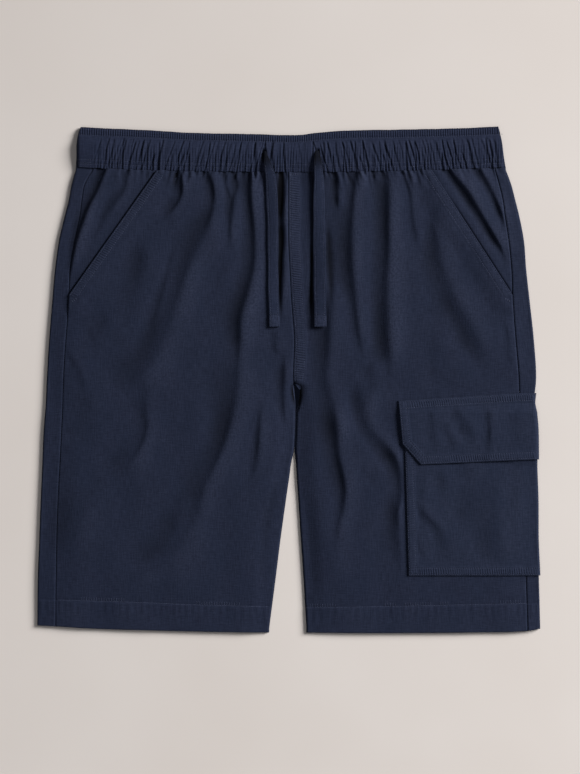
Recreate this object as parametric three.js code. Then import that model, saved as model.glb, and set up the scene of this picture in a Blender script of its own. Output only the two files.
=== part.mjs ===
// Cargo shorts lying flat on a table with the front up: an elastic waist with a
// drawcord, slanted hand pockets, and one cargo pocket that wraps round the outer leg.
// Sizes are in millimetres. X runs to the viewer's right, Y towards the waist, Z up.
import * as THREE from "three";

// Cloth walls, and the room left between pieces.
const WALL = 1.2;
const SEAM_GAP = 0.3;
const LAYER_GAP = 0.4;
const LAYER = WALL + LAYER_GAP;
const LOWER_TOP = WALL + SEAM_GAP;

// How far the upper layer stands off the lower one inside the shorts.
const CROWN = 2.1;
const FOLD_PUFF = 1.1;
const CROWN_RISE = 40;
const INSEAM_RISE = 22;
const CENTRE_DIP = 0.7;
const CENTRE_DIP_WIDTH = 9;
const CROTCH_Y = -20;

// The waist seam hangs a little lower at the centre than at the sides.
const WAIST_SIDE_Y = 220.4;
const WAIST_SAG = 4.9;
const WAIST_HALF = 222;

// Rows of the leg panels: the first lies on the waist seam and the last on the hem.
const WAIST_ROW = 218;
const HEM_ROW = -262;
const WAIST_BEND = 110;
const HEM_BEND = -212;
const HEM_LINE = -236;
const HEM_RAISE = 0.4;
const POCKET_END_Y = 88;

// The waistband lies as two slabs, with its gathers raised on the upper one.
const BAND_LOWER_TOP = 2.6;
const BAND_UPPER_BASE = 3.0;
const GATHERS = 60;
const GATHER_STEPS = 4;
const BAND_LEFT = -220.5;
const BAND_RIGHT = 224.5;
const PUCKER_HEIGHT = 0.9;
const PUCKER_REACH = 26;

// The hand pockets' facings run on under the edge of the opening.
const FACING_UNDERLAP = 8;
const OPENING_HOLD = 10;
const OPENING_FADE = 28;

// The cargo pocket ends this far in from the outer fold, on the underside.
const UNDER_REACH = 44;
const UNDER_RAMP = 52;
const UPPER_RAMP = 75;
const POCKET_FOLD_X = 258;

const CORD_WIDTH = 12;
const CORD_THICK = 1.8;
const CORD_STEPS = 8;

const FOLD_ARCS = 5;
const FRONT_COLUMNS = 22;
const BACK_COLUMNS = 4;
const FACING_COLUMNS = 6;
const WRAP_COLUMNS = 2;
const POCKET_COLUMNS = 12;
const UNDER_COLUMNS = 3;

const CLOTH = { color: 0x232839, roughness: 0.9, metalness: 0 };

// Where each half's outer fold, side seam and inner edge cross a height, down to the hem.
const SECTIONS = {
  left: [
    { y: 218, outer: -221.3, seam: -203.6, inner: 0.0 },
    { y: 203, outer: -225.6, seam: -211.9, inner: 0.0 },
    { y: 187, outer: -228.5, seam: -215.0, inner: 0.0 },
    { y: 171, outer: -232.5, seam: -217.1, inner: 0.0 },
    { y: 145, outer: -238.6, seam: -222.3, inner: 0.1 },
    { y: 114, outer: -242.9, seam: -227.3, inner: 1.5 },
    { y: 83, outer: -245.6, seam: -228.4, inner: 3.1 },
    { y: 41, outer: -249.0, seam: -231.7, inner: 6.1 },
    { y: 0, outer: -251.4, seam: -234.2, inner: 4.9 },
    { y: -25, outer: -252.5, seam: -234.9, inner: 6.6 },
    { y: -52, outer: -254.6, seam: -236.1, inner: 5.9 },
    { y: -88, outer: -256.1, seam: -237.9, inner: 2.3 },
    { y: -125, outer: -257.7, seam: -239.9, inner: -2.9 },
    { y: -167, outer: -259.3, seam: -241.2, inner: -8.7 },
    { y: -208, outer: -260.8, seam: -241.8, inner: -13.8 },
    { y: -258, outer: -261.3, seam: -242.3, inner: -20.3 },
  ],
  right: [
    { y: 218, outer: 225.5, seam: 213.9, inner: 0.0 },
    { y: 203, outer: 231.1, seam: 218.1, inner: 0.0 },
    { y: 187, outer: 235.3, seam: 221.9, inner: 0.0 },
    { y: 171, outer: 239.3, seam: 224.1, inner: 0.0 },
    { y: 145, outer: 244.3, seam: 228.0, inner: 0.1 },
    { y: 114, outer: 246.8, seam: 231.2, inner: 1.5 },
    { y: 83, outer: 250.2, seam: 232.3, inner: 3.1 },
    { y: 41, outer: 254.7, seam: 235.5, inner: 6.1 },
    { y: 0, outer: 257.0, seam: 238.8, inner: 5.0 },
    { y: -25, outer: 254.4, seam: 239.5, inner: 7.2 },
    { y: -52, outer: 256.1, seam: 240.5, inner: 6.9 },
    { y: -88, outer: 256.6, seam: 241.9, inner: 7.5 },
    { y: -125, outer: 257.8, seam: 243.2, inner: 9.9 },
    { y: -167, outer: 258.1, seam: 244.9, inner: 12.6 },
    { y: -208, outer: 259.9, seam: 246.3, inner: 15.4 },
    { y: -258, outer: 261.3, seam: 247.8, inner: 18.3 },
  ],
};

const TOP_EDGE = [
  { x: -216, y: 262.3 },
  { x: -186, y: 260.8 },
  { x: -140, y: 258.7 },
  { x: -107, y: 256.6 },
  { x: -40, y: 255.1 },
  { x: 15, y: 254.4 },
  { x: 26, y: 256.0 },
  { x: 57, y: 258.5 },
  { x: 116, y: 259.7 },
  { x: 184, y: 261.3 },
  { x: 218, y: 262.9 },
];

const HEM_EDGE = [
  { x: -261, y: -255.1 },
  { x: -241, y: -256.1 },
  { x: -207, y: -258.2 },
  { x: -139, y: -260.3 },
  { x: -43, y: -262.3 },
  { x: 0, y: -262.5 },
  { x: 105, y: -262.9 },
  { x: 186, y: -262.3 },
  { x: 248, y: -260.7 },
  { x: 261, y: -258.7 },
];

// Each row across the waistband: its share of the height from the top edge, its ends,
// how high its face lies, and how high the gathers stand on it.
const BAND_ROWS = [
  { share: 0.0, left: -216.1, right: 217.6, face: 4.3, gather: 0.1 },
  { share: 0.18, left: -218.6, right: 219.4, face: 4.6, gather: 0.4 },
  { share: 0.42, left: -220.0, right: 221.2, face: 5.4, gather: 2.2 },
  { share: 0.76, left: -220.3, right: 223.2, face: 5.3, gather: 1.8 },
  { share: 1.0, left: -221.0, right: 225.2, face: 4.8, gather: 0.9 },
];

// The slanted hand pocket openings, from the waist seam to the side seam.
const OPENINGS = {
  left: { top: [-137.0, 216.8], end: [-228.1, POCKET_END_Y] },
  right: { top: [148.8, 216.4], end: [232.0, POCKET_END_Y] },
};

// The cargo pocket: its bag, and the flap over it with one corner cut off.
const BAG = { top: -38, leftTop: 119.3, leftBottom: 124.2 };
const FLAP = {
  left: [113.4, 117.6],
  topLeft: -21.8,
  topSlope: 0.064,
  topFlat: -13.8,
  chamfer: [117.6, -66.5],
  bottom: [136.7, -88.0],
  bottomEnd: [POCKET_FOLD_X, -82.6],
};

// How many layers of the cargo pocket lie under the outer leg at each height.
const POCKET_LAYERS = [
  { y: -6.5, layers: 0 },
  { y: -13.5, layers: 1 },
  { y: -24, layers: 1 },
  { y: -34, layers: 2 },
  { y: -83, layers: 2 },
  { y: -90, layers: 1 },
  { y: -203, layers: 1 },
  { y: -210, layers: 0 },
];

const LEFT_ROWS = [
  WAIST_ROW, 211, 201, 188, 170, 150, 130, 109, POCKET_END_Y, 68, 48, 28, 8, -12, -32,
  -52, -74, -96, -118, -140, -162, -184, -206, -222, -234, -237, HEM_ROW,
];
const RIGHT_ROWS = [
  WAIST_ROW, 211, 201, 188, 170, 150, 130, 109, POCKET_END_Y, 68, 48, 28, 10, -6.5, -13.5,
  -24, -34, -60, -83, -90, -112, -134, -157, -180, -203, -210, -222, -234, -237, HEM_ROW,
];
const BAG_ROWS = [BAG.top, -60, -83, -90, -112, -134, -157, -180, -203];
const FLAP_ROWS = [0, 0.14, 0.28, 0.5, 0.76, 1];
const PUCKERED_ROWS = 3;

// The main folds: how deep each trough is, its half width, and the way that it runs.
const FOLDS = [
  {
    place: "left facing", depth: 1.7, width: 5,
    path: [
      [-189, 218], [-201, 197], [-214, 171], [-222, 145], [-226, 104],
    ],
  },
  {
    place: "left facing, soft", depth: 0.8, width: 8,
    path: [
      [-165, 218], [-178, 187], [-194, 156],
    ],
  },
  {
    place: "left pocket top", depth: 1.2, width: 6,
    path: [
      [-112, 215], [-110, 193], [-123, 171], [-134, 161],
    ],
  },
  {
    place: "left hip", depth: 1.3, width: 10,
    path: [
      [-85, 215], [-77, 198], [-76, 184], [-90, 154], [-108, 121], [-126, 64], [-133, 32],
      [-147, 5],
    ],
  },
  {
    place: "below the left pocket", depth: 0.7, width: 10,
    path: [
      [-151, 145], [-155, 109], [-162, 74],
    ],
  },
  {
    place: "left front, short", depth: 1.1, width: 7,
    path: [
      [-60, 215], [-53, 203], [-60, 181], [-60, 145], [-60, 131],
    ],
  },
  {
    place: "left front, long", depth: 1.9, width: 8,
    path: [
      [-40, 215], [-39, 181], [-36, 145], [-37, 118], [-43, 91], [-51, 67], [-52, 47],
      [-50, 20], [-54, -17], [-63, -44], [-81, -97], [-99, -151], [-112, -160],
    ],
  },
  {
    place: "left inner leg", depth: 1.4, width: 8,
    path: [
      [-18, 1], [-27, -35], [-33, -62], [-36, -97],
    ],
  },
  {
    place: "left of the crotch", depth: 0.9, width: 6,
    path: [
      [-2, 1], [-4, -35],
    ],
  },
  {
    place: "left outer leg", depth: 1.1, width: 10,
    path: [
      [-144, 1], [-147, -25], [-149, -57], [-162, -79], [-172, -92], [-188, -106],
      [-197, -119],
    ],
  },
  {
    place: "left side", depth: 0.7, width: 10,
    path: [
      [-210, 1], [-206, -35], [-210, -70],
    ],
  },
  {
    place: "beside the left cord", depth: 2.0, width: 6,
    path: [
      [-7, 215], [-7, 163], [-8, 109], [-8, 83],
    ],
  },
  {
    place: "beside the right cord", depth: 1.6, width: 6,
    path: [
      [21, 215], [21, 178], [21, 121], [21, 57],
    ],
  },
  {
    place: "right front, short", depth: 1.3, width: 5,
    path: [
      [50, 216], [49, 196], [50, 178],
    ],
  },
  {
    place: "right front, long", depth: 1.8, width: 9,
    path: [
      [72, 216], [65, 181], [63, 149], [65, 112], [69, 66], [78, 10], [86, -27], [88, -49],
      [102, -70], [112, -87], [113, -105], [113, -129], [112, -144],
    ],
  },
  {
    place: "right hip", depth: 1.8, width: 8,
    path: [
      [99, 220], [102, 196], [102, 159], [101, 84], [102, 48], [102, 10],
    ],
  },
  {
    place: "right inner leg", depth: 1.8, width: 8,
    path: [
      [41, 103], [44, 69], [41, 48], [45, 20], [43, -9], [50, -46], [56, -82], [58, -129],
      [52, -167],
    ],
  },
  {
    place: "right pocket top", depth: 0.9, width: 7,
    path: [
      [121, 211], [128, 190], [128, 173], [135, 126],
    ],
  },
  {
    place: "below the right pocket", depth: 1.0, width: 11,
    path: [
      [154, 155], [158, 121], [169, 93], [186, 66], [195, 38], [195, 10],
    ],
  },
  {
    place: "right facing", depth: 1.7, width: 5,
    path: [
      [169, 218], [181, 199], [191, 185], [199, 170], [210, 155], [223, 129],
    ],
  },
  {
    place: "right facing, short", depth: 1.2, width: 5,
    path: [
      [197, 220], [205, 209], [213, 196], [218, 188],
    ],
  },
];
const RIDGE_SHARE = 0.28;
const RIDGE_AWAY = 1.9;
const LEAST_PUFF = 0.15;

const POCKET_CREASES = {
  bag: [{ place: "slanting", depth: 0.5, width: 7, path: [[132, -129], [148, -145], [157, -155], [167, -176]] }],
  flap: [
    { place: "upright", depth: 0.4, width: 5, path: [[208, -30], [208, -74]] },
    { place: "dent", depth: 0.5, width: 8, path: [[173, -35], [195, -56]] },
  ],
};

// The drawcord's two free ends, from just below their buttonholes.
const CORD_ROUTES = {
  left: [
    [-22.0, 230, 8.5], [-21.0, 222, 8.4], [-19.6, 214, 8.1], [-18.7, 206, 7.6], [-17.8, 192, 7.2],
    [-17.2, 176, 7.1], [-16.7, 158, 7.0], [-16.5, 138, 6.9], [-16.3, 120, 6.7], [-16.1, 102, 6.6],
    [-15.9, 84, 6.5], [-15.3, 69, 6.4], [-14.8, 55, 6.3],
  ],
  right: [
    [29.4, 232, 8.6], [30.2, 224, 8.5], [30.8, 215, 8.1], [31.2, 206, 7.5], [31.3, 192, 7.1],
    [31.3, 176, 6.9], [31.4, 158, 6.7], [31.6, 138, 6.6], [31.9, 120, 6.6], [32.2, 102, 6.5],
    [32.4, 84, 6.5], [32.6, 69, 6.4], [32.8, 55, 6.4],
  ],
};

function smooth(from, to, at) {
  const t = Math.min(1, Math.max(0, (at - from) / (to - from)));
  return t * t * (3 - 2 * t);
}

function mix(a, b, t) {
  return a + (b - a) * t;
}

// A smooth curve through one column of a table, read at a value of another column.
function read(table, by, column, at) {
  const slope = (i) => (table[i + 1][column] - table[i][column]) / (table[i + 1][by] - table[i][by]);
  const turn = (i) => {
    if (i === 0) return slope(0);
    if (i === table.length - 1) return slope(i - 1);
    return (slope(i - 1) + slope(i)) / 2;
  };
  const rising = table[1][by] > table[0][by];
  const low = rising ? table[0][by] : table[table.length - 1][by];
  const high = rising ? table[table.length - 1][by] : table[0][by];
  const held = Math.min(high, Math.max(low, at));
  let i = 0;
  while (i < table.length - 2 && (rising ? held > table[i + 1][by] : held < table[i + 1][by])) i += 1;
  const width = table[i + 1][by] - table[i][by];
  const t = (held - table[i][by]) / width;
  const t2 = t * t;
  const t3 = t2 * t;
  return (
    (2 * t3 - 3 * t2 + 1) * table[i][column] +
    (t3 - 2 * t2 + t) * width * turn(i) +
    (3 * t2 - 2 * t3) * table[i + 1][column] +
    (t3 - t2) * width * turn(i + 1)
  );
}

function section(side, column, y) {
  return read(SECTIONS[side], "y", column, y);
}

function waistSeam(x) {
  return WAIST_SIDE_Y - WAIST_SAG * (1 - (x / WAIST_HALF) ** 2);
}

// The height on the garment of a panel's row where it passes x.
function rowY(x, row) {
  const nearWaist = smooth(WAIST_BEND, WAIST_ROW, row);
  const nearHem = smooth(HEM_BEND, HEM_ROW, row);
  const toWaist = waistSeam(x) - SEAM_GAP - WAIST_ROW;
  const toHem = read(HEM_EDGE, "x", "y", x) - HEM_ROW;
  return row + nearWaist * toWaist + nearHem * toHem;
}

// Where a row meets an edge whose X is a function of Y.
function meet(edge, row) {
  let x = edge(row);
  for (let i = 0; i < 5; i += 1) x = edge(rowY(x, row));
  return x;
}

function outward(side) {
  return side === "left" ? -1 : 1;
}

function openingX(side, y) {
  const { top, end } = OPENINGS[side];
  return mix(end[0], top[0], (y - end[1]) / (top[1] - end[1]));
}

// How far a point is from a path, and how far along it, as a share of its length.
function nearPath(path, x, y) {
  const lengths = path.slice(1).map((p, i) => Math.hypot(p[0] - path[i][0], p[1] - path[i][1]));
  const total = lengths.reduce((sum, length) => sum + length, 0);
  let best = { away: Infinity, share: 0 };
  let before = 0;
  for (let i = 0; i < lengths.length; i += 1) {
    const [ax, ay] = path[i];
    const dx = path[i + 1][0] - ax;
    const dy = path[i + 1][1] - ay;
    const t = Math.min(1, Math.max(0, ((x - ax) * dx + (y - ay) * dy) / (lengths[i] * lengths[i])));
    const away = Math.hypot(x - ax - t * dx, y - ay - t * dy);
    if (away < best.away) best = { away, share: (before + t * lengths[i]) / total };
    before += lengths[i];
  }
  return best;
}

// A trough with a low ridge along each side. It runs out at its ends, but not at the waist.
function foldRelief(fold, x, y) {
  const { away, share } = nearPath(fold.path, x, y);
  const atWaist = fold.path[0][1] > WAIST_ROW - 10;
  const start = atWaist ? 1 : smooth(0, 0.2, share + 0.04);
  const end = smooth(0, 0.2, 1 - share + 0.04);
  const trough = Math.exp(-((away / fold.width) ** 2));
  const ridge = Math.exp(-(((away - RIDGE_AWAY * fold.width) / fold.width) ** 2));
  return fold.depth * start * end * (RIDGE_SHARE * ridge - trough);
}

function openingDistance(side, x, y) {
  const { top, end } = OPENINGS[side];
  return nearPath([top, end], x, y).away;
}

// Folds stay off the cargo pocket and off the edges of the hand pocket openings.
function foldShare(side, x, y) {
  const opening = smooth(3, 14, openingDistance(side, x, y));
  const besideBag = side === "left" ? 0 : smooth(112, 122, x);
  const bagRows = smooth(0, -14, y) * smooth(-214, -203, y);
  return opening * (1 - besideBag * bagRows);
}

// The smooth hollow between the layers: low at the outer fold and closed at the inseam.
function crown(side, x, y) {
  const fromOuter = outward(side) * (section(side, "outer", y) - x);
  const fromInner = outward(side) * (x - section(side, "inner", y));
  const rise = mix(FOLD_PUFF, CROWN, smooth(0, CROWN_RISE, fromOuter));
  const legs = smooth(CROTCH_Y + 12, CROTCH_Y - 22, y);
  const inseam = smooth(0, INSEAM_RISE, fromInner);
  const dip = 1 - (CENTRE_DIP / CROWN) * Math.exp(-((fromInner / CENTRE_DIP_WIDTH) ** 2));
  const hem = 1 - 0.4 * smooth(-205, HEM_ROW, y);
  return rise * hem * mix(dip, inseam, legs);
}

function folds(side, x, y) {
  const share = foldShare(side, x, y);
  if (share === 0) return 0;
  return share * FOLDS.reduce((sum, fold) => sum + foldRelief(fold, x, y), 0);
}

// The greater of two heights, rounded where they cross.
function softMax(a, b) {
  const round = 0.3;
  return (a + b + Math.sqrt((a - b) ** 2 + round ** 2)) / 2;
}

// How far the pocket's layers under the outer leg raise it.
function liftAt(y) {
  const last = POCKET_LAYERS.length - 1;
  if (y >= POCKET_LAYERS[0].y || y <= POCKET_LAYERS[last].y) return 0;
  let i = 0;
  while (y < POCKET_LAYERS[i + 1].y) i += 1;
  const { y: high, layers: above } = POCKET_LAYERS[i];
  const { y: low, layers: below } = POCKET_LAYERS[i + 1];
  return LAYER * mix(above, below, (y - high) / (low - high));
}

function lowerLift(side, x, y) {
  if (side === "left") return 0;
  const fromFold = section("right", "outer", y) - x;
  return liftAt(y) * Math.min(1, Math.max(0, (UNDER_RAMP - fromFold) / (UNDER_RAMP - UNDER_REACH - 1)));
}

function upperLift(side, x, y) {
  if (side === "left") return 0;
  const fromFold = section("right", "outer", y) - x;
  return liftAt(y) * smooth(UPPER_RAMP, UNDER_REACH + 2, fromFold);
}

// The inner face of the upper layer, with its folds and without them.
function upperFace(side, x, y) {
  const puff = Math.max(LEAST_PUFF, crown(side, x, y) + folds(side, x, y));
  return LOWER_TOP + softMax(puff, upperLift(side, x, y));
}

function plainFace(side, x, y) {
  return LOWER_TOP + softMax(crown(side, x, y), upperLift(side, x, y));
}

// Gathers along the waist, unevenly spaced, counted from the left end.
function gatherX(count, left, right) {
  const uneven = 0.2 * Math.sin(2.4 * count) + 0.06 * Math.sin(5.3 * count + 1);
  const ends = smooth(0, 2, count) * smooth(GATHERS, GATHERS - 2, count);
  return mix(left, right, (count + uneven * ends) / GATHERS);
}

function gatherCount(x) {
  let low = 0;
  let high = GATHERS;
  for (let i = 0; i < 24; i += 1) {
    const middle = (low + high) / 2;
    if (gatherX(middle, BAND_LEFT, BAND_RIGHT) < x) low = middle;
    else high = middle;
  }
  return low;
}

// A gather's height, from 0 to 1. The left end and the centre front are calmer.
function gatherWave(count, x) {
  const strength = 0.72 + 0.28 * Math.sin(3.7 * Math.floor(count) + 0.5);
  const end = mix(0.15, 1, smooth(-208, -197, x));
  const centre = 1 - 0.6 * Math.exp(-(((x - 11) / 11) ** 2));
  return strength * end * centre * Math.sin(Math.PI * count) ** 2;
}

function pucker(x, y) {
  const below = waistSeam(x) - y;
  return PUCKER_HEIGHT * gatherWave(gatherCount(x), x) * smooth(PUCKER_REACH, 0, below);
}

// The turned hem is thicker, so its face stands a little higher.
function hemRaise(row) {
  return row < HEM_LINE ? HEM_RAISE : 0;
}

// Triangles between two lines of points, which may differ in number.
function zip(above, below) {
  const triangles = [];
  let i = 0;
  let j = 0;
  while (i < above.length - 1 || j < below.length - 1) {
    const nextAbove = i < above.length - 1 ? (i + 1) / (above.length - 1) : Infinity;
    const nextBelow = j < below.length - 1 ? (j + 1) / (below.length - 1) : Infinity;
    if (nextBelow <= nextAbove) {
      triangles.push(above[i], below[j], below[j + 1]);
      j += 1;
    } else {
      triangles.push(above[i], below[j], above[i + 1]);
      i += 1;
    }
  }
  return triangles;
}

// A closed wall between an outer and an inner face, each given as rows of points.
function wall(outer, inner) {
  const points = [];
  const last = (rows) => rows[rows.length - 1];
  const startColumn = (rows) => rows.map((row) => row[0]);
  const endColumn = (rows) => rows.map((row) => last(row));
  for (let i = 0; i < outer.length - 1; i += 1) points.push(...zip(outer[i], outer[i + 1]));
  for (let i = 0; i < inner.length - 1; i += 1) points.push(...zip(inner[i + 1], inner[i]));
  points.push(...zip(inner[0], outer[0]));
  points.push(...zip(last(outer), last(inner)));
  points.push(...zip(startColumn(outer), startColumn(inner)));
  points.push(...zip(endColumn(inner), endColumn(outer)));
  const geometry = new THREE.BufferGeometry();
  geometry.setAttribute("position", new THREE.Float32BufferAttribute(points.flat(), 3));
  geometry.computeVertexNormals();
  return geometry;
}

function spread(from, to, count) {
  return Array.from({ length: count + 1 }, (_, i) => mix(from, to, i / count));
}

function frontPanel(side) {
  const sign = outward(side);
  const rows = side === "left" ? LEFT_ROWS : RIGHT_ROWS;
  const seam = (y) => section(side, "seam", y) - (sign * SEAM_GAP) / 2;
  const outerEdge = (y) => {
    const opening = y > POCKET_END_Y ? openingX(side, y) : seam(y);
    return sign * Math.min(sign * opening, sign * seam(y));
  };
  const innerEdge = (y) => section(side, "inner", y) + (sign * SEAM_GAP) / 2;
  const overFacing = (x, y) => LAYER * smooth(OPENING_FADE, OPENING_HOLD, openingDistance(side, x, y));
  const line = (row, columns, point) => {
    const ends = [meet(outerEdge, row), meet(innerEdge, row)].sort((a, b) => a - b);
    return spread(ends[0], ends[1], columns).map((x) => {
      const y = rowY(x, row);
      return [x, y, point(x, y, row)];
    });
  };
  const inside = (x, y) => upperFace(side, x, y) + overFacing(x, y);
  const outside = (x, y, row) => inside(x, y) + WALL + pucker(x, y) + hemRaise(row);
  const outer = rows.map((row, i) => line(row, FRONT_COLUMNS * (i < PUCKERED_ROWS ? 2 : 1), outside));
  const inner = rows.map((row) => line(row, FRONT_COLUMNS, inside));
  return wall(outer, inner);
}

function pocketFacing(side) {
  const sign = outward(side);
  const seam = (y) => section(side, "seam", y) - (sign * SEAM_GAP) / 2;
  const hidden = (y) => openingX(side, y) - sign * FACING_UNDERLAP;
  const rows = LEFT_ROWS.filter((row) => row >= POCKET_END_Y);
  const line = (row, raise) => {
    const ends = [meet(seam, row), meet(hidden, row)].sort((a, b) => a - b);
    return spread(ends[0], ends[1], FACING_COLUMNS).map((x) => {
      const y = rowY(x, row);
      return [x, y, upperFace(side, x, y) + raise];
    });
  };
  return wall(rows.map((row) => line(row, WALL)), rows.map((row) => line(row, 0)));
}

// The outer fold at one row: the centre and radius of the panel's outer face.
function outerFold(side, row) {
  const sign = outward(side);
  const edge = meet((y) => section(side, "outer", y), row);
  const y = rowY(edge, row);
  const lift = side === "left" ? 0 : liftAt(y);
  const top = plainFace(side, edge - sign * 2, y) + WALL;
  const radius = (top - lift) / 2;
  return { edge, y, lift, radius, centre: edge - sign * radius };
}

// Points round the outer fold, from the underside up, at an offset from the panel's face.
function foldArc(side, fold, offset) {
  return spread(0, Math.PI, FOLD_ARCS).map((angle) => [
    fold.centre + outward(side) * (fold.radius + offset) * Math.sin(angle),
    fold.y,
    fold.lift + fold.radius - (fold.radius + offset) * Math.cos(angle),
  ]);
}

// The back panel lies on the table, turns round the outer fold and ends at the side seam.
function backPanel(side) {
  const sign = outward(side);
  const rows = side === "left" ? LEFT_ROWS : RIGHT_ROWS;
  const seam = (y) => section(side, "seam", y) + (sign * SEAM_GAP) / 2;
  const innerEdge = (y) => section(side, "inner", y) + (sign * SEAM_GAP) / 2;
  const line = (row, outerFace) => {
    const fold = outerFold(side, row);
    const start = meet(innerEdge, row);
    const flatEnd = fold.edge - sign * UNDER_RAMP;
    const stops = [...spread(start, flatEnd, BACK_COLUMNS), fold.edge - sign * (UNDER_REACH + 1)];
    const under = stops.map((x) => {
      const y = rowY(x, row);
      return [x, y, lowerLift(side, x, y) + (outerFace ? 0 : WALL)];
    });
    const arc = foldArc(side, fold, outerFace ? 0 : -WALL);
    const over = spread(fold.centre, meet(seam, row), WRAP_COLUMNS).slice(1).map((x) => {
      const y = rowY(x, row);
      return [x, y, upperFace(side, x, y) + (outerFace ? WALL + hemRaise(row) : 0)];
    });
    const points = [...under, ...arc, ...over];
    return side === "left" ? points : points.reverse();
  };
  return wall(rows.map((row) => line(row, true)), rows.map((row) => line(row, false)));
}

function creases(list, x, y) {
  return list.reduce((sum, crease) => sum + Math.min(0, foldRelief(crease, x, y)), 0);
}

// One row of a piece that wraps the outer right leg, at an offset from the panel.
function wrapLine(leftX, heightAt, offsetAt, list) {
  const fold = outerFold("right", heightAt(POCKET_FOLD_X));
  const over = spread(leftX, fold.centre, POCKET_COLUMNS).slice(0, -1).map((x) => {
    const y = heightAt(x);
    return [x, y, plainFace("right", x, y) + WALL + offsetAt(y) + creases(list, x, y)];
  });
  const arc = foldArc("right", fold, offsetAt(fold.y)).reverse();
  const end = fold.edge - UNDER_REACH;
  const under = spread(fold.centre, end, UNDER_COLUMNS).slice(1).map((x) => {
    return [x, fold.y, fold.lift - offsetAt(fold.y)];
  });
  return [...over, ...arc, ...under];
}

function cargoBag() {
  const bottomRow = BAG_ROWS[BAG_ROWS.length - 1];
  const line = (row, offset, list) => {
    const down = (BAG.top - row) / (BAG.top - bottomRow);
    const leftX = mix(BAG.leftTop, BAG.leftBottom, down);
    return wrapLine(leftX, () => row, () => offset, list);
  };
  const outer = BAG_ROWS.map((row) => line(row, LAYER, POCKET_CREASES.bag));
  const inner = BAG_ROWS.map((row) => line(row, LAYER_GAP, []));
  return wall(outer, inner);
}

// The flap lies on the leg along its top edge and on the bag below it.
function flapOffset(y) {
  const { y: high } = POCKET_LAYERS[2];
  const { y: low } = POCKET_LAYERS[3];
  return LAYER * mix(1, 2, Math.min(1, Math.max(0, (high - y) / (high - low))));
}

function cargoFlap() {
  const topAt = (x) => Math.min(FLAP.topFlat, FLAP.topLeft + FLAP.topSlope * (x - FLAP.left[0]));
  const bottomAt = (x) => {
    const [cutX, cutY] = FLAP.chamfer;
    const [cornerX, cornerY] = FLAP.bottom;
    if (x < cornerX) return mix(cutY, cornerY, (x - cutX) / (cornerX - cutX));
    const [endX, endY] = FLAP.bottomEnd;
    return mix(cornerY, endY, Math.min(1, (x - cornerX) / (endX - cornerX)));
  };
  const line = (share, inset, list) => {
    const leftX = mix(FLAP.left[0], FLAP.left[1], share);
    const heightAt = (x) => mix(topAt(x), bottomAt(Math.max(x, FLAP.chamfer[0])), share);
    return wrapLine(leftX, heightAt, (y) => flapOffset(y) - inset, list);
  };
  const outer = FLAP_ROWS.map((share) => line(share, 0, POCKET_CREASES.flap));
  const inner = FLAP_ROWS.map((share) => line(share, WALL, []));
  return wall(outer, inner);
}

function bandPoint(count, row, height) {
  const x = gatherX(count, row.left, row.right);
  const top = read(TOP_EDGE, "x", "y", x);
  return [x, mix(top, waistSeam(x), row.share), height];
}

function waistbandFront() {
  const outer = BAND_ROWS.map((row) =>
    spread(0, GATHERS, GATHERS * GATHER_STEPS).map((count) => {
      const flat = bandPoint(count, row, row.face);
      return bandPoint(count, row, row.face + row.gather * gatherWave(count, flat[0]));
    }),
  );
  const inner = BAND_ROWS.map((row) =>
    spread(0, GATHERS, GATHERS).map((count) => bandPoint(count, row, BAND_UPPER_BASE)),
  );
  return wall(outer, inner);
}

function waistbandBack() {
  const columns = spread(0, GATHERS, GATHERS / 2);
  const upper = BAND_ROWS.map((row) => columns.map((count) => bandPoint(count, row, BAND_LOWER_TOP)));
  const lower = BAND_ROWS.map((row) => columns.map((count) => bandPoint(count, row, 0)));
  return wall(upper, lower);
}

// A flat tape with rounded edges, swept along its route.
function drawcord(route) {
  const curve = new THREE.CatmullRomCurve3(route.map((point) => new THREE.Vector3(...point)));
  const thick = CORD_THICK / 2;
  const half = CORD_WIDTH / 2;
  const soft = thick / 2;
  const outline = [
    [thick, half - thick], [soft, half], [-soft, half], [-thick, half - thick],
    [-thick, thick - half], [-soft, -half], [soft, -half], [thick, thick - half],
  ];
  const shape = new THREE.Shape(outline.map(([x, y]) => new THREE.Vector2(x, y)));
  return new THREE.ExtrudeGeometry(shape, { steps: CORD_STEPS, extrudePath: curve });
}

function piece(name, geometry) {
  const mesh = new THREE.Mesh(geometry, new THREE.MeshStandardMaterial(CLOTH));
  mesh.name = name;
  return mesh;
}

function shorts() {
  const garment = new THREE.Group();
  for (const side of ["left", "right"]) {
    garment.add(piece(`back_panel_${side}`, backPanel(side)));
    garment.add(piece(`front_panel_${side}`, frontPanel(side)));
    garment.add(piece(`pocket_facing_${side}`, pocketFacing(side)));
    garment.add(piece(`drawcord_${side}`, drawcord(CORD_ROUTES[side])));
  }
  garment.add(piece("waistband_front", waistbandFront()));
  garment.add(piece("waistband_back", waistbandBack()));
  garment.add(piece("cargo_pocket_bag", cargoBag()));
  garment.add(piece("cargo_pocket_flap", cargoFlap()));
  return garment;
}

// The origin is at the middle of the garment's box, on the table.
function onTable(garment) {
  const box = new THREE.Box3().setFromObject(garment);
  const middle = box.getCenter(new THREE.Vector3());
  garment.position.set(-middle.x, -middle.y, -box.min.z);
  return garment;
}

export default onTable(shorts());
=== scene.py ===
"""Navy cargo shorts lying flat with the front up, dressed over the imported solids.
The tables and shape functions are in millimetres; meshes are made in metres.
X runs to the viewer's right, Y towards the waist, and Z up from the table."""
import math

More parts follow.
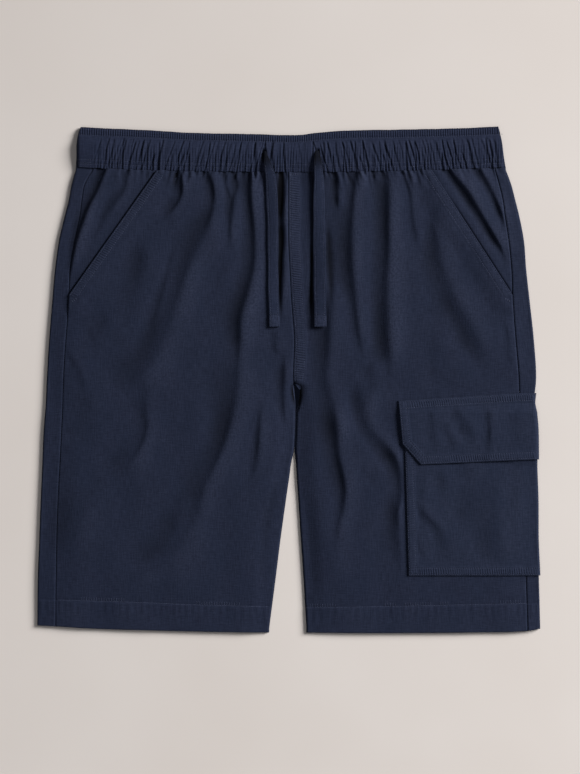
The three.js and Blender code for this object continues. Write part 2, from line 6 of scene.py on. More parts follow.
import bpy
import numpy as np
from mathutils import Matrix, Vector


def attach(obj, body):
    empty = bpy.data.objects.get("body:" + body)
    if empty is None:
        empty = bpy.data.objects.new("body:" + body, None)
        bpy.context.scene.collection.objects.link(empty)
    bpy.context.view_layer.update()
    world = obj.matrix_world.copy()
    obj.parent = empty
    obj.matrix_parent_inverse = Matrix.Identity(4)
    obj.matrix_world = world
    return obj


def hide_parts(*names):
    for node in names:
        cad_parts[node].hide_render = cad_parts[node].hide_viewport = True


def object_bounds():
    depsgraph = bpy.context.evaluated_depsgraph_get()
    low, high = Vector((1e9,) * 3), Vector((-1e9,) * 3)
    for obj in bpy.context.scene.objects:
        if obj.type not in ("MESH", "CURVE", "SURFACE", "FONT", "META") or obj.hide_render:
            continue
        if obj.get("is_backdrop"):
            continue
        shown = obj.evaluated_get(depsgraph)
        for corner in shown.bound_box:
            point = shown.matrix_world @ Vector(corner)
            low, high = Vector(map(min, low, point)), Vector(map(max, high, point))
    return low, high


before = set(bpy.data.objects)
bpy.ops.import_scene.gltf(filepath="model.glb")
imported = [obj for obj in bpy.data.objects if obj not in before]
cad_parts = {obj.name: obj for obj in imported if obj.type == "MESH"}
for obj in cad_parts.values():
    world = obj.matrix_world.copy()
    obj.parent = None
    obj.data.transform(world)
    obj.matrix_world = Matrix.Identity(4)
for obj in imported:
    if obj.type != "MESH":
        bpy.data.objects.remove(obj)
cad_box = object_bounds()

MM = 0.001

# Cloth walls, and the room left between pieces, as in the solids.
WALL = 1.2
SEAM_GAP = 0.3
LAYER_GAP = 0.4
LAYER = WALL + LAYER_GAP
LOWER_TOP = WALL + SEAM_GAP
CROWN = 2.6
FOLD_PUFF = 1.1
CROWN_RISE = 40
INSEAM_RISE = 22
CENTRE_DIP = 1.0
CENTRE_DIP_WIDTH = 38
CROTCH_Y = -20
LEAST_PUFF = 0.15

# The narrow parting that shows where two pieces are sewn together, and how far each side
# of a side seam turns down into it.
SEAM_SLIT = 0.04
WAIST_SLIT = 0.1
WAIST_ROLL = (0.1, 0.7)
SIDE_SEAM_ROLL = {"left": (0.5, 1.3), "right": (0.8, 1.5)}

# Every fold: its strength, the shares of it that stand up as a crest and sink as a hollow,
# and how much of it is drawn out broadly to both sides.
FOLD_STRENGTH = 1.6
CREST_SHARE = 0.5
HOLLOW_SHARE = 0.6
BROAD_SHARE = 0.2

# The waist seam, the panels' rows and the hem.
WAIST_SIDE_Y = 220.4
WAIST_SAG = 4.9
WAIST_HALF = 222
WAIST_ROW = 218
HEM_ROW = -262
WAIST_BEND = 110
HEM_BEND = -212
HEM_RAISE = 0.4
HEM_PUCKER = 7.0
POCKET_END_Y = 88

# The waistband's two slabs and its gathers: how much deeper they are below its seam, and how
# much cloth they take up.
BAND_LOWER_TOP = 2.6
BAND_UPPER_BASE = 3.0
BAND_LEFT = -220.5
BAND_RIGHT = 224.5
BAND_HEIGHT = 42
HEADER_SHARE = 0.19
BAND_ROW_SHARES = (0.8, 0.9)
RIB_PITCH = 2.4
PANEL_GATHER = 1.5
GATHER_FULLNESS = 1.3

# The hand pockets and the cargo pocket.
FACING_UNDERLAP = 8
OPENING_HOLD = 10
OPENING_SHADE = 1.3
OPENING_FADE = 28
UNDER_REACH = 44
UNDER_RAMP = 52
UPPER_RAMP = 75
POCKET_FOLD_X = 258
POCKET_UNROLLED_END = 330

# The drawcord, a flat tape.
CORD_WIDTH = 12
CORD_THICK = 1.8
CORD_HEM_THICK = 0.3
CORD_SEAM_SHARE = 0.68

# Sewing.
STITCH_PITCH = 2.4
HEM_STITCH_PITCH = 1.7
STITCH_LENGTH = 1.6
STITCH_RADIUS = 0.2
STITCH_RISE = 0.1
SEAM_STEP = 0.8
TACK_ROWS = 3
TACK_SPREAD = 0.7
TWIN_NEAR = 1.6
TWIN_FAR = 8.4
FLY_NEAR = 1.8
FLY_FAR = 10.8
POCKET_NEAR = {"bag": 1.0, "flap": 1.6}
POCKET_FAR = 7.8
HEM_RUNG = (0.4, 3.8)
HEM_RUNG_PITCH = 2.6
RIPPLE = 0.3

# The photograph's frame: its middle on the table, its height there, and the lens.
FRAME_MIDDLE = (1.3, -7.5)
FRAME_HEIGHT = 805
CAMERA_AWAY = 1900
SENSOR = 36


def table(columns, rows):
    """Named columns of numbers, from rows written side by side."""
    return {name: np.array(values, float) for name, values in zip(columns.split(), zip(*rows))}


SECTIONS = {
    "left": table(
        "y outer seam inner",
        [
            (218, -221.3, -203.6, 0.0), (203, -225.6, -211.9, 0.0),
            (187, -228.5, -215.0, 0.0), (171, -232.5, -217.1, 0.0),
            (145, -238.6, -222.3, 0.1), (114, -242.9, -227.3, 1.5),
            (83, -245.6, -228.4, 3.1), (41, -249.0, -231.7, 6.1),
            (0, -251.4, -234.2, 4.9), (-25, -252.5, -234.9, 6.6),
            (-52, -254.6, -236.1, 5.9), (-88, -256.1, -237.9, 2.3),
            (-125, -257.7, -239.9, -2.9), (-167, -259.3, -241.2, -8.7),
            (-208, -260.8, -241.8, -13.8), (-258, -261.3, -242.3, -20.3),
        ],
    ),
    "right": table(
        "y outer seam inner",
        [
            (218, 225.5, 213.9, 0.0), (203, 231.1, 218.1, 0.0),
            (187, 235.3, 221.9, 0.0), (171, 239.3, 224.1, 0.0),
            (145, 244.3, 228.0, 0.1), (114, 246.8, 231.2, 1.5),
            (83, 250.2, 232.3, 3.1), (41, 254.7, 235.5, 6.1),
            (0, 257.0, 238.8, 5.0), (-25, 254.4, 239.5, 7.2),
            (-52, 256.1, 240.5, 6.9), (-88, 256.6, 241.9, 7.5),
            (-125, 257.8, 243.2, 9.9), (-167, 258.1, 244.9, 12.6),
            (-208, 259.9, 246.3, 15.4), (-258, 261.3, 247.8, 18.3),
        ],
    ),
}

TOP_EDGE = table(
    "x y",
    [
        (-216, 262.3), (-186, 260.8), (-140, 258.7), (-107, 256.6), (-40, 255.1), (15, 254.4),
        (26, 256.0), (57, 258.5), (116, 259.7), (184, 261.3), (218, 262.9),
    ],
)
HEM_EDGE = table(
    "x y",
    [
        (-261, -255.1), (-241, -256.1), (-207, -258.2), (-139, -260.3), (-43, -262.3),
        (0, -262.5), (105, -262.9), (186, -262.3), (248, -260.7), (261, -258.7),
    ],
)

# Across the waistband: its share of the height from the top, its ends, how high its face
# lies, and how high the gathers stand on it.
BAND_ROWS = table(
    "share left right face gather",
    [
        (0.0, -216.1, 217.6, 4.3, 0.1),
        (0.18, -218.6, 219.4, 4.6, 0.4),
        (0.42, -220.0, 221.2, 5.4, 2.1),
        (0.76, -220.3, 223.2, 5.3, 1.6),
        (1.0, -221.0, 225.2, 4.6, 0.5),
    ],
)

OPENINGS = {
    "left": [(-137.0, 216.8), (-228.1, POCKET_END_Y)],
    "right": [(148.8, 216.4), (232.0, POCKET_END_Y)],
}
BAG_OUTLINE = [(119.3, -38), (124.2, -203), (POCKET_UNROLLED_END, -203)]
FLAP_TOP_Y = -13.8
FLAP_TOP_SLOPE = 0.064
FLAP_LEFT_TOP = (113.4, -21.8)
FLAP_LOWER_EDGE = [(117.6, -66.5), (136.7, -88.0), (258.0, -82.6)]
FLAP_OUTLINE = [
    (POCKET_UNROLLED_END, FLAP_TOP_Y), (238.4, FLAP_TOP_Y), FLAP_LEFT_TOP,
    *FLAP_LOWER_EDGE, (POCKET_UNROLLED_END, FLAP_LOWER_EDGE[-1][1]),
]
POCKET_LAYERS = table(
    "y layers",
    [(-6.5, 0), (-13.5, 1), (-24, 1), (-34, 2), (-83, 2), (-90, 1), (-203, 1), (-210, 0)],
)

# The main folds: how deep, the width of the steep wall that faces left, how far the gentle
# sides reach, and the line of the wall from its upper end to its lower end.
FOLDS = [
    (
        "left facing", 1.6, 3, 7,
        [(-190, 220), (-198, 199), (-208, 180), (-216, 159), (-221, 142), (-225, 122), (-228, 96)],
    ),
    ("left facing, soft", 0.8, 5, 7, [(-166, 217), (-171, 197), (-182, 182), (-193, 165), (-204, 140)]),
    ("left facing, short", 0.35, 3, 4, [(-179, 220), (-188, 204)]),
    ("left pocket top", 1.1, 3, 7, [(-113, 220), (-111, 207), (-112, 191), (-121, 176), (-134, 165)]),
    ("left hip, upper", 1.1, 4, 8, [(-86, 220), (-80, 205), (-78, 188), (-82, 168), (-90, 148)]),
    (
        "left hip, lower", 1.25, 12, 16,
        [(-80, 182), (-90, 150), (-105, 120), (-116, 88), (-130, 50), (-144, 22), (-156, 2), (-165, -26)],
    ),
    (
        "left hip, thin", 0.35, 4.5, 5,
        [(-111, 152), (-119, 133), (-127, 105), (-136, 73), (-143, 46), (-156, 24)],
    ),
    ("left front, branch", 0.6, 3, 5, [(-67, 220), (-64, 200), (-60, 186)]),
    ("left front, short", 1.1, 4, 8, [(-58, 220), (-53, 202), (-58, 184), (-61, 155), (-60, 130)]),
    ("left front, faint", 0.35, 6, 8, [(-52, 127), (-66, 115), (-79, 98)]),
    (
        "left front, long", 1.7, 5.5, 12,
        [(-40, 220), (-40, 189), (-37, 156), (-37, 121), (-43, 94), (-51, 65), (-52, 36), (-55, 2)],
    ),
    (
        "left leg, long", 1.3, 8, 15,
        [(-52, 31), (-57, -21), (-67, -62), (-80, -92), (-89, -111), (-98, -142), (-112, -168)],
    ),
    ("left leg, low", 0.8, 17, 20, [(-97, -140), (-112, -166), (-140, -190), (-176, -210)]),
    ("left leg, outer and low", 0.6, 22, 22, [(-186, -96), (-212, -130), (-226, -168), (-230, -212)]),
    (
        "left of the fly", 1.1, 6, 4,
        [(-8, 220), (-7, 187), (-7, 145), (-8, 104), (-9, 83), (-10, 57)],
    ),
    ("left of the crotch", 0.9, 4, 6, [(-5, 28), (-6, -17), (-4, -52)]),
    ("below the left cord", 0.5, 5, 6, [(-15, 52), (-14, 24)]),
    ("below the left pocket", 0.85, 12, 13, [(-160, 156), (-152, 128), (-156, 104), (-162, 74), (-171, 46)]),
    ("left outer hip, faint", 0.4, 9, 9, [(-183, 73), (-196, 49), (-209, 32)]),
    ("left seam, faint", 0.4, 7, 8, [(-231, 31), (-223, 18), (-215, 2), (-213, -18)]),
    (
        "left outer leg", 0.9, 7, 13,
        [(-144, 4), (-150, -24), (-148, -49), (-156, -73), (-170, -89), (-191, -113)],
    ),
    ("left side", 0.5, 14, 14, [(-213, -5), (-209, -30), (-209, -51), (-213, -77)]),
    ("left inner leg", 0.9, 5, 9, [(-27, -18), (-31, -48), (-33, -77), (-38, -100), (-47, -114)]),
    ("left inseam", 0.8, 9, 7, [(-9, -100), (-13, -126), (-18, -160), (-22, -192), (-26, -229)]),
    ("left knee, faint", 0.35, 10, 10, [(-110, -117), (-115, -142), (-122, -172)]),
    ("right front, short", 1.2, 3.5, 5, [(50, 220), (50, 201), (51, 174)]),
    (
        "right front, long", 1.5, 6, 11,
        [(71, 220), (67, 194), (64, 158), (64, 121), (67, 90), (72, 48), (78, 16)],
    ),
    ("right leg, upper", 0.7, 10, 11, [(84, 24), (86, -4), (84, -24), (86, -42)]),
    (
        "right leg, to the pocket", 1.3, 9, 10,
        [(71, 6), (75, -30), (81, -48), (92, -63), (106, -79), (110, -92)],
    ),
    (
        "against the pocket", 1.25, 5.5, 8,
        [(93, -60), (104, -73), (112, -88), (116, -105), (115.5, -124), (112, -140), (112, -158)],
    ),
    ("right leg, low", 0.7, 20, 18, [(24, -104), (30, -145), (36, -188), (41, -228)]),
    ("right leg, faint", 0.3, 8, 8, [(74, -90), (86, -98), (97, -106)]),
    ("beside the pocket", 0.9, 8, 9, [(106, -112), (111, -140), (114, -172), (117, -206)]),
    (
        "right inner leg", 1.1, 8, 12,
        [(42, 104), (41, 60), (39, 25), (37, 2), (42, -18), (46, -36), (49, -58), (52, -84)],
    ),
    (
        "right inner leg, low", 1.25, 5, 10,
        [(44, -24), (48, -50), (50, -75), (55, -97), (57.5, -114), (55.5, -134), (51, -152), (49, -182)],
    ),
    (
        "right hip", 1.6, 7.5, 12,
        [(99, 220), (102, 196), (102, 168), (102, 134), (100, 102), (100, 72), (102, 33), (106, -5)],
    ),
    ("right waist, small", 0.6, 3, 4, [(92, 220), (88, 207)]),
    ("right pocket top", 0.7, 4, 9, [(120, 212), (126, 193), (128, 170), (132, 147), (136, 127)]),
    (
        "below the right pocket", 0.9, 10, 12,
        [(147, 184), (150, 160), (156, 120), (167, 93), (181, 67), (192, 44), (202, 20), (204, -2)],
    ),
    ("right outer hip", 0.4, 8, 10, [(158, 98), (172, 73), (182, 51), (190, 22)]),
    ("right thigh, faint", 0.35, 9, 9, [(150, 52), (151, 21), (153, -4)]),
    (
        "right facing", 1.7, 3.5, 8,
        [(166, 220), (174, 208), (184, 196), (192, 183), (200, 170), (212, 150), (220, 136), (227, 118)],
    ),
    ("right facing, short", 1.2, 3, 6, [(197, 220), (206, 204), (213, 190), (220, 173), (225, 152)]),
    ("right facing, faint", 0.5, 8, 6, [(193, 149), (203, 135), (210, 121)]),
    ("right side, low", 0.35, 6, 6, [(224, 66), (228, 38), (230, 8)]),
]
# Grooves that sink beside the cords, with no crest of their own: depth, half width, line.
GROOVES = [
    ("left of the centre, top", 1.9, 3.2, [(-7.6, 222), (-7.8, 200), (-8.4, 180), (-8.6, 160)]),
    ("left of the centre", 1.6, 2.7, [(-8.4, 168), (-7.6, 152), (-7.8, 138), (-8.8, 122), (-9.2, 100)]),
    ("left of the centre, low", 1.3, 1.6, [(-8.8, 128), (-9.3, 104), (-9.0, 83), (-8.4, 60)]),
    ("beside the right cord", 0.6, 1.5, [(25, 220), (25, 178), (24.5, 145), (24, 128)]),
    ("beside the right cord, low", 1.2, 2.1, [(24.5, 150), (23.5, 104), (23, 57)]),
    ("right of the right cord", 0.8, 3.4, [(40, 168), (42, 128), (43.5, 96), (43, 62)]),
]
# How much painted shade darkens the grooves beyond their depth, how much paler a seam under twin
# needle rows is rubbed, and how much painted shade darkens the pit at the crotch.
GROOVE_SHADE = 1.7
SEAM_TONE = 0.3
CROTCH_SHADE = 2.2
BAG_CREASES = [
    ("slanting", 0.65, 7.5, 8, [(127, -126), (142, -141), (153, -153), (160, -167), (165, -182)]),
    ("lower", 0.4, 6, 7, [(126, -168), (141, -182)]),
    ("under the flap", 0.5, 9, 9, [(150, -92), (160, -104), (160, -124)]),
    ("broad", 0.6, 20, 20, [(213, -92), (207, -125), (211, -160), (216, -194)]),
    ("right", 0.3, 9, 10, [(238, -96), (234, -130), (237, -172)]),
]
FLAP_CREASES = [
    ("dent", 0.65, 8, 8, [(171, -27), (182, -46), (194, -66)]),
    ("upright", 0.45, 4, 6, [(206, -24), (208, -48), (207, -79)]),
    ("left", 0.4, 6, 7, [(146, -27), (149, -47), (152, -75)]),
    ("middle", 0.35, 6, 7, [(159, -42), (167, -59), (174, -77)]),
    ("right", 0.3, 9, 9, [(238, -24), (236, -50), (239, -78)]),
]
# Dense bars of thread, and the short rows at the waistband's left end.
POCKET_TACKS = {"left": [(-219.5, 84.5), (-225.5, 81.0)], "right": [(223.5, 84.5), (229.5, 81.0)]}
FLY_TACK = [(0.8, 213.4), (11.7, 213.4)]
FLAP_ROW = [(115.4, -29.6), (124.5, -29.6)]
BAND_END_X = (-219, -204.6)
BAND_END_ROWS = (228.5, 225.4, 223.3, 221.3)
# The row that sews each leg's hem, from its left end to its right end.
HEM_SEAMS = {
    "left": table("x y", [(-240, -228.5), (-165, -230.6), (-100, -233.4), (-20, -235.6)]),
    "right": table("x y", [(18, -236.4), (95, -235.4), (235, -232.4), (247, -232.0)]),
}

# Each free end of the drawcord, from inside its buttonhole down over the front.
CORD_ROUTES = {
    "left": [
        (-24.4, 236.5, 6.4), (-23.4, 231, 8.3), (-22.0, 224, 8.6), (-19.6, 214, 8.2),
        (-18.7, 206, 7.7), (-17.8, 192, 7.2), (-17.2, 176, 7.1), (-16.7, 158, 7.0),
        (-16.5, 138, 6.9), (-16.3, 120, 6.7), (-16.1, 102, 6.6), (-15.9, 84, 6.5),
        (-15.3, 69, 6.4), (-14.8, 55, 6.3),
    ],
    "right": [
        (29.4, 237, 6.4), (29.6, 232, 8.3), (30.2, 224, 8.6), (30.8, 215, 8.2), (31.2, 206, 7.6),
        (31.3, 192, 7.1), (31.3, 176, 6.9), (31.4, 158, 6.7), (31.6, 138, 6.6), (31.9, 120, 6.6),
        (32.2, 102, 6.5), (32.4, 84, 6.5), (32.6, 69, 6.4), (32.8, 55, 6.4),
    ],
}
CORD_WIDTHS = {
    "left": table(
        "y width",
        [(240, 1.6), (233, 3.2), (228, 5.6), (218, 9.4), (204, 11.3), (156, 11.2), (83, 10.6), (50, 10.8)],
    ),
    "right": table(
        "y width",
        [(240, 2.6), (234, 5.0), (229, 7.2), (219, 8.8), (204, 10.6), (156, 12.6), (83, 13.0), (50, 12.4)],
    ),
}
CORD_HEM_Y = 66
# Where each tape leaves its buttonhole in the shade, and how much painted shade darkens it there.
CORD_SHADE_Y = (208, 232)
CORD_TOP_SHADE = 3.2
BUTTONHOLES = {"left": (-26.0, 232.6), "right": (29.7, 233.0)}
BUTTONHOLE_LENGTH = 13.0


def smooth(start, end, at):
    t = np.clip((at - start) / (end - start), 0, 1)
    return t * t * (3 - 2 * t)


def mix(a, b, t):
    return a + (b - a) * t


def bell(at, width):
    return np.exp(-((at / width) ** 2))


def read(rows, by, column, at):
    """A smooth curve through one column of a table, read at values of another column."""
    known, value = rows[by], rows[column]
    if known[0] > known[-1]:
        known, value = known[::-1], value[::-1]
    at = np.clip(at, known[0], known[-1])
    slope = np.diff(value) / np.diff(known)
    turn = np.concatenate([slope[:1], (slope[:-1] + slope[1:]) / 2, slope[-1:]])
    i = np.clip(np.searchsorted(known, at) - 1, 0, len(known) - 2)
    width = known[i + 1] - known[i]
    t = (at - known[i]) / width
    return (
        (2 * t**3 - 3 * t**2 + 1) * value[i]
        + (t**3 - 2 * t**2 + t) * width * turn[i]
        + (3 * t**2 - 2 * t**3) * value[i + 1]
        + (t**3 - t**2) * width * turn[i + 1]
    )


def section(side, column, y):
    return read(SECTIONS[side], "y", column, y)


def outward(side):
    return -1 if side == "left" else 1


def waist_seam(x):
    drawn = 0.35 * np.sin(x / 1.9 + 2 * np.sin(x / 13)) * smooth(WAIST_HALF, WAIST_HALF - 20, np.abs(x))
    return WAIST_SIDE_Y - WAIST_SAG * (1 - (x / WAIST_HALF) ** 2) + drawn


def row_y(x, row):
    """The height on the garment of a panel's row where it passes x."""
    to_waist = waist_seam(x) - WAIST_SLIT - WAIST_ROW
    to_hem = read(HEM_EDGE, "x", "y", x) - HEM_ROW
    near_waist = smooth(WAIST_BEND, WAIST_ROW, row)
    return row + near_waist * to_waist + smooth(HEM_BEND, HEM_ROW, row) * to_hem


def meet(edge, row):
    """Where a row meets an edge whose X is a function of Y."""
    x = edge(row)
    for _ in range(5):
        x = edge(row_y(x, row))
    return x


def curve_through(points, steps=5):
    """A smooth curve through points, as a finer list of points."""
    points = np.array(points, float)
    padded = np.concatenate([2 * points[:1] - points[1:2], points, 2 * points[-1:] - points[-2:-1]])
    t = (np.arange(steps) / steps)[:, None]
    spans = []
    for before, start, end, after in zip(padded, padded[1:], padded[2:], padded[3:]):
        spans.append(
            start
            + 0.5 * t * (end - before)
            + t**2 * (before - 2.5 * start + 2 * end - 0.5 * after)
            + 0.5 * t**3 * (after - before + 3 * (start - end))
        )
    return np.concatenate(spans + [points[-1:]])


def beside(points, x, y):
    """Distance from a line of points, positive on the viewer's right of one that runs down,
    and how far along the line the nearest place is."""
    points = np.asarray(points, float)
    nearest = np.full(x.shape, np.inf)
    signed = np.zeros(x.shape)
    along = np.zeros(x.shape)
    before = 0.0
    for (ax, ay), (bx, by) in zip(points[:, :2], points[1:, :2]):
        dx, dy = bx - ax, by - ay
        length = math.hypot(dx, dy)
        t = np.clip(((x - ax) * dx + (y - ay) * dy) / length**2, 0, 1)
        off_x = x - ax - t * dx
        off_y = y - ay - t * dy
        away = np.hypot(off_x, off_y)
        closer = away < nearest
        nearest = np.where(closer, away, nearest)
        side = np.where(dx * off_y - dy * off_x < 0, -1, 1)
        signed = np.where(closer, side * away, signed)
        along = np.where(closer, before + t * length, along)
        before += length
    return signed, along


def opening_x(side, y):
    (top_x, top_y), (end_x, end_y) = OPENINGS[side]
    return mix(end_x, top_x, (y - end_y) / (top_y - end_y))


def opening_distance(side, x, y):
    return np.abs(beside(OPENINGS[side], x, y)[0])


def near_line(line, x, y, reach):
    """Marks the places near enough to a line for what lies along it to matter."""
    inside = (x > line[:, 0].min() - reach) & (x < line[:, 0].max() + reach)
    return inside & (y > line[:, 1].min() - reach) & (y < line[:, 1].max() + reach)


def fading(path, along, length):
    """A fold starts at full depth where it comes out of the waist, and else grows and dies out."""
    start = 1 if path[0][1] > WAIST_ROW - 10 else smooth(-2, min(0.26 * length, 32), along)
    return start * smooth(-2, min(0.36 * length, 46), length - along)


def fold_relief(fold, x, y):
    """A steep wall that faces left, with a hollow at its foot and a crest that eases away."""
    place, depth, wall, soft, path = fold
    result = np.zeros(x.shape)
    line = curve_through(path)
    near = near_line(line, x, y, wall + 5 * soft)
    if not near.any():
        return result
    away, along = beside(line, x[near], y[near])
    length = np.hypot(*np.diff(line, axis=0).T).sum()
    share = along / length
    width = wall * (1 + 0.22 * np.sin(7 * share + len(place)))
    height = depth * fading(path, along, length) * (1 + 0.16 * np.sin(11 * share + 2 * len(place)))
    beyond = np.maximum(np.abs(away) - width / 2, 0)
    crest = CREST_SHARE * bell(beyond, 1.25 * soft)
    hollow = HOLLOW_SHARE * bell(beyond, soft)
    sharp = np.tanh(2.2 * away / width) * np.where(away > 0, crest, hollow)
    broad = np.tanh(2.2 * away / (width + 1.3 * soft)) * bell(away, 2.2 * soft)
    result[near] = FOLD_STRENGTH * height * (sharp + BROAD_SHARE * broad)
    return result


def groove_relief(x, y):
    """Grooves beside the cords: narrow, sharp at the bottom and uneven."""
    total = np.zeros(x.shape)
    for place, depth, half, path in GROOVES:
        line = curve_through(path)
        near = near_line(line, x, y, 3 * half)
        if not near.any():
            continue
        away, along = beside(line, x[near], y[near])
        length = np.hypot(*np.diff(line, axis=0).T).sum()
        width = half * (1 + 0.2 * np.sin(9 * along / length + len(place)))
        total[near] -= depth * fading(path, along, length) * bell(away, width)
    return total


def total_relief(list_of_folds, x, y):
    total = np.zeros(x.shape)
    for fold in list_of_folds:
        total += fold_relief(fold, x, y)
    return total


def fold_share(side, x, y):
    """Folds stay off the cargo pocket and off the edges of the hand pocket openings."""
    opening = smooth(3, 14, opening_distance(side, x, y))
    if side == "left":
        return opening
    return opening * (1 - smooth(112, 122, x) * smooth(0, -14, y) * smooth(-214, -203, y))


def crown(side, x, y):
    """The hollow between the layers: low at the outer fold and closed at the inseam."""
    from_outer = outward(side) * (section(side, "outer", y) - x)
    from_inner = outward(side) * (x - section(side, "inner", y))
    rise = mix(FOLD_PUFF, CROWN, smooth(0, CROWN_RISE, from_outer))
    legs = smooth(CROTCH_Y + 12, CROTCH_Y - 22, y)
    dip = 1 - (CENTRE_DIP / CROWN) * bell(from_inner, CENTRE_DIP_WIDTH)
    hem = 1 - 0.4 * smooth(-205, HEM_ROW, y)
    return rise * hem * mix(dip, smooth(0, INSEAM_RISE, from_inner), legs)


def soft_max(a, b, rounding=0.3):
    return (a + b + np.sqrt((a - b) ** 2 + rounding**2)) / 2


def lift_at(y):
    """How far the pocket's layers under the outer leg raise it."""
    return LAYER * np.interp(y, POCKET_LAYERS["y"][::-1], POCKET_LAYERS["layers"][::-1])


def lower_lift(side, x, y):
    if side == "left":
        return np.zeros(x.shape)
    from_fold = section("right", "outer", y) - x
    return lift_at(y) * np.clip((UNDER_RAMP - from_fold) / (UNDER_RAMP - UNDER_REACH - 1), 0, 1)


def upper_lift(side, x, y):
    if side == "left":
        return np.zeros(x.shape)
    from_fold = section("right", "outer", y) - x
    return lift_at(y) * smooth(UPPER_RAMP, UNDER_REACH + 2, from_fold)


def ease(x, y):
    """Slow, shallow swells in cloth that was smoothed by hand."""
    swell = np.sin(x / 10.5 + y / 41 + 0.8 * np.sin(y / 53)) * np.sin(y / 47 - x / 71 + 1.1)
    drift = np.sin(x / 6.3 - y / 27 + 2.0) * np.sin(y / 21 + x / 33)
    return 0.32 * swell + 0.12 * drift


def upper_face(side, x, y):
    """The inner face of the upper layer, with its folds."""
    relief = fold_share(side, x, y) * (total_relief(FOLDS, x, y) + groove_relief(x, y) + ease(x, y))
    puff = soft_max(crown(side, x, y) + relief, LEAST_PUFF)
    return LOWER_TOP + soft_max(puff, upper_lift(side, x, y))


def plain_face(side, x, y):
    return LOWER_TOP + soft_max(crown(side, x, y), upper_lift(side, x, y))


def waist_creases():
    """The gathers' creases, one row each: where it crosses the waist seam, its lean, the share
    of the band where it starts, how far it runs on below the seam, its depth and width."""
    chance = np.random.default_rng(23)
    rows = []
    x = -203.0
    while x < BAND_RIGHT - 4:
        calm = 0.3 if 0 < x < 22 else 1.0
        start = chance.choice([0.2, 0.22, 0.26, 0.55])
        lean = -0.22 * math.tanh(x / 60) + chance.uniform(-0.10, 0.10)
        below = chance.choice([6, 10, 16, 26])
        depth = calm * chance.uniform(0.18, 0.84)
        rows.append((x, lean, start, below, depth, chance.uniform(0.55, 1.1)))
        x += chance.uniform(2.1, 4.8)
    return rows


CREASES = waist_creases()


def crease_relief(x, y):
    """Creases from the header down the waistband and out below its seam."""
    total = np.zeros(x.shape)
    above = (y - waist_seam(x)) / BAND_HEIGHT
    for at, lean, start, below, depth, width in CREASES:
        near = (np.abs(x - at) < 20) & (above > -1)
        if not near.any():
            continue
        up = above[near]
        centre = at + lean * BAND_HEIGHT * up + 0.9 * np.sin(5 * up + at)
        off = x[near] - centre
        wider = width * np.where(up < 0, 1.5 - 5 * up, 1)
        trough = bell(off, np.where(off > 0, 0.85, 1.7) * wider)
        crest = 0.4 * bell(off - 2.2 * wider, 1.4 * wider)
        fade = smooth(1 - start, 1 - start - 0.1, up) * smooth(-below / BAND_HEIGHT, 0, np.minimum(up, 0))
        fade = fade * np.where(up < 0, PANEL_GATHER, 1)
        total[near] -= depth * fade * (trough - crest)
    return total


def topstitched(away, along, near=TWIN_NEAR, far=TWIN_FAR):
    """A turned edge under twin needle rows: a raised band, a groove at each row and small
    ripples drawn up between them."""
    raised = 0.4 * smooth(far + 2.2, far + 0.6, away)
    grooves = 0.3 * (bell(away - near, 0.6) + bell(away - far, 0.6))
    between = smooth(near - 0.6, near + 1.2, away) * smooth(far + 1.2, far - 0.8, away)
    uneven = 0.7 + 0.3 * np.sin(along / 13)
    slant = along + 0.12 * away + 0.5 * np.sin(along / 7)
    return raised - grooves + RIPPLE * between * uneven * np.sin(2 * np.pi * slant / STITCH_PITCH)


def seam_tone(away, far=TWIN_FAR):
    """A seam under twin needle rows is rubbed paler than the cloth beside it."""
    return SEAM_TONE * smooth(far + 1.4, far + 0.2, away)


def roll(away, drop=0.6, reach=1.5):
    """How far an edge turns down near its end."""
    return drop * (1 - smooth(0, reach, away)) ** 1.5


def inner_x(side, y):
    """The centre seam, then each leg's inner edge. The legs touch just below the crotch."""
    own = section(side, "inner", y)
    middle = (section("left", "inner", y) + section("right", "inner", y)) / 2
    return mix(own, middle, smooth(-88, -68, y))


def centre_gap(side, y):
    """The legs part in a small dark pit at the crotch, most of it on the right leg."""
    width = 1.3 if side == "left" else 6.8
    return width * smooth(-2, -7, y) * np.clip((y + 34) / 26, 0, 1) ** 0.8


def hem_seam(side, x):
    rows = HEM_SEAMS[side]
    return np.interp(x, rows["x"], rows["y"])


def hem_relief(side, x, y):
    """A turned hem below its row of stitches, drawn up in soft upright puckers."""
    below = hem_seam(side, x) - y
    puckers = np.sin(2 * np.pi * x / HEM_PUCKER + 1.7 * np.sin(x / 19)) + 0.6 * np.sin(x / 1.9)
    drawn = smooth(-3, 2, below) * smooth(22, 6, below)
    return HEM_RAISE * smooth(-0.5, 1.0, below) - 0.3 * bell(below, 0.8) + 0.09 * drawn * puckers


def side_seam(side, y, turn=-1):
    """Where the front ends at the side seam, or with a turn of 1 where the back does."""
    return section(side, "seam", y) + turn * outward(side) * SEAM_SLIT / 2


def front_edges(side):
    sign = outward(side)

    def outer_edge(y):
        seam = side_seam(side, y)
        opening = np.where(y > POCKET_END_Y, opening_x(side, y), seam)
        return sign * np.minimum(sign * opening, sign * seam)

    def inner_edge(y):
        return inner_x(side, y) + sign * (SEAM_SLIT / 2 + centre_gap(side, y))

    return outer_edge, inner_edge


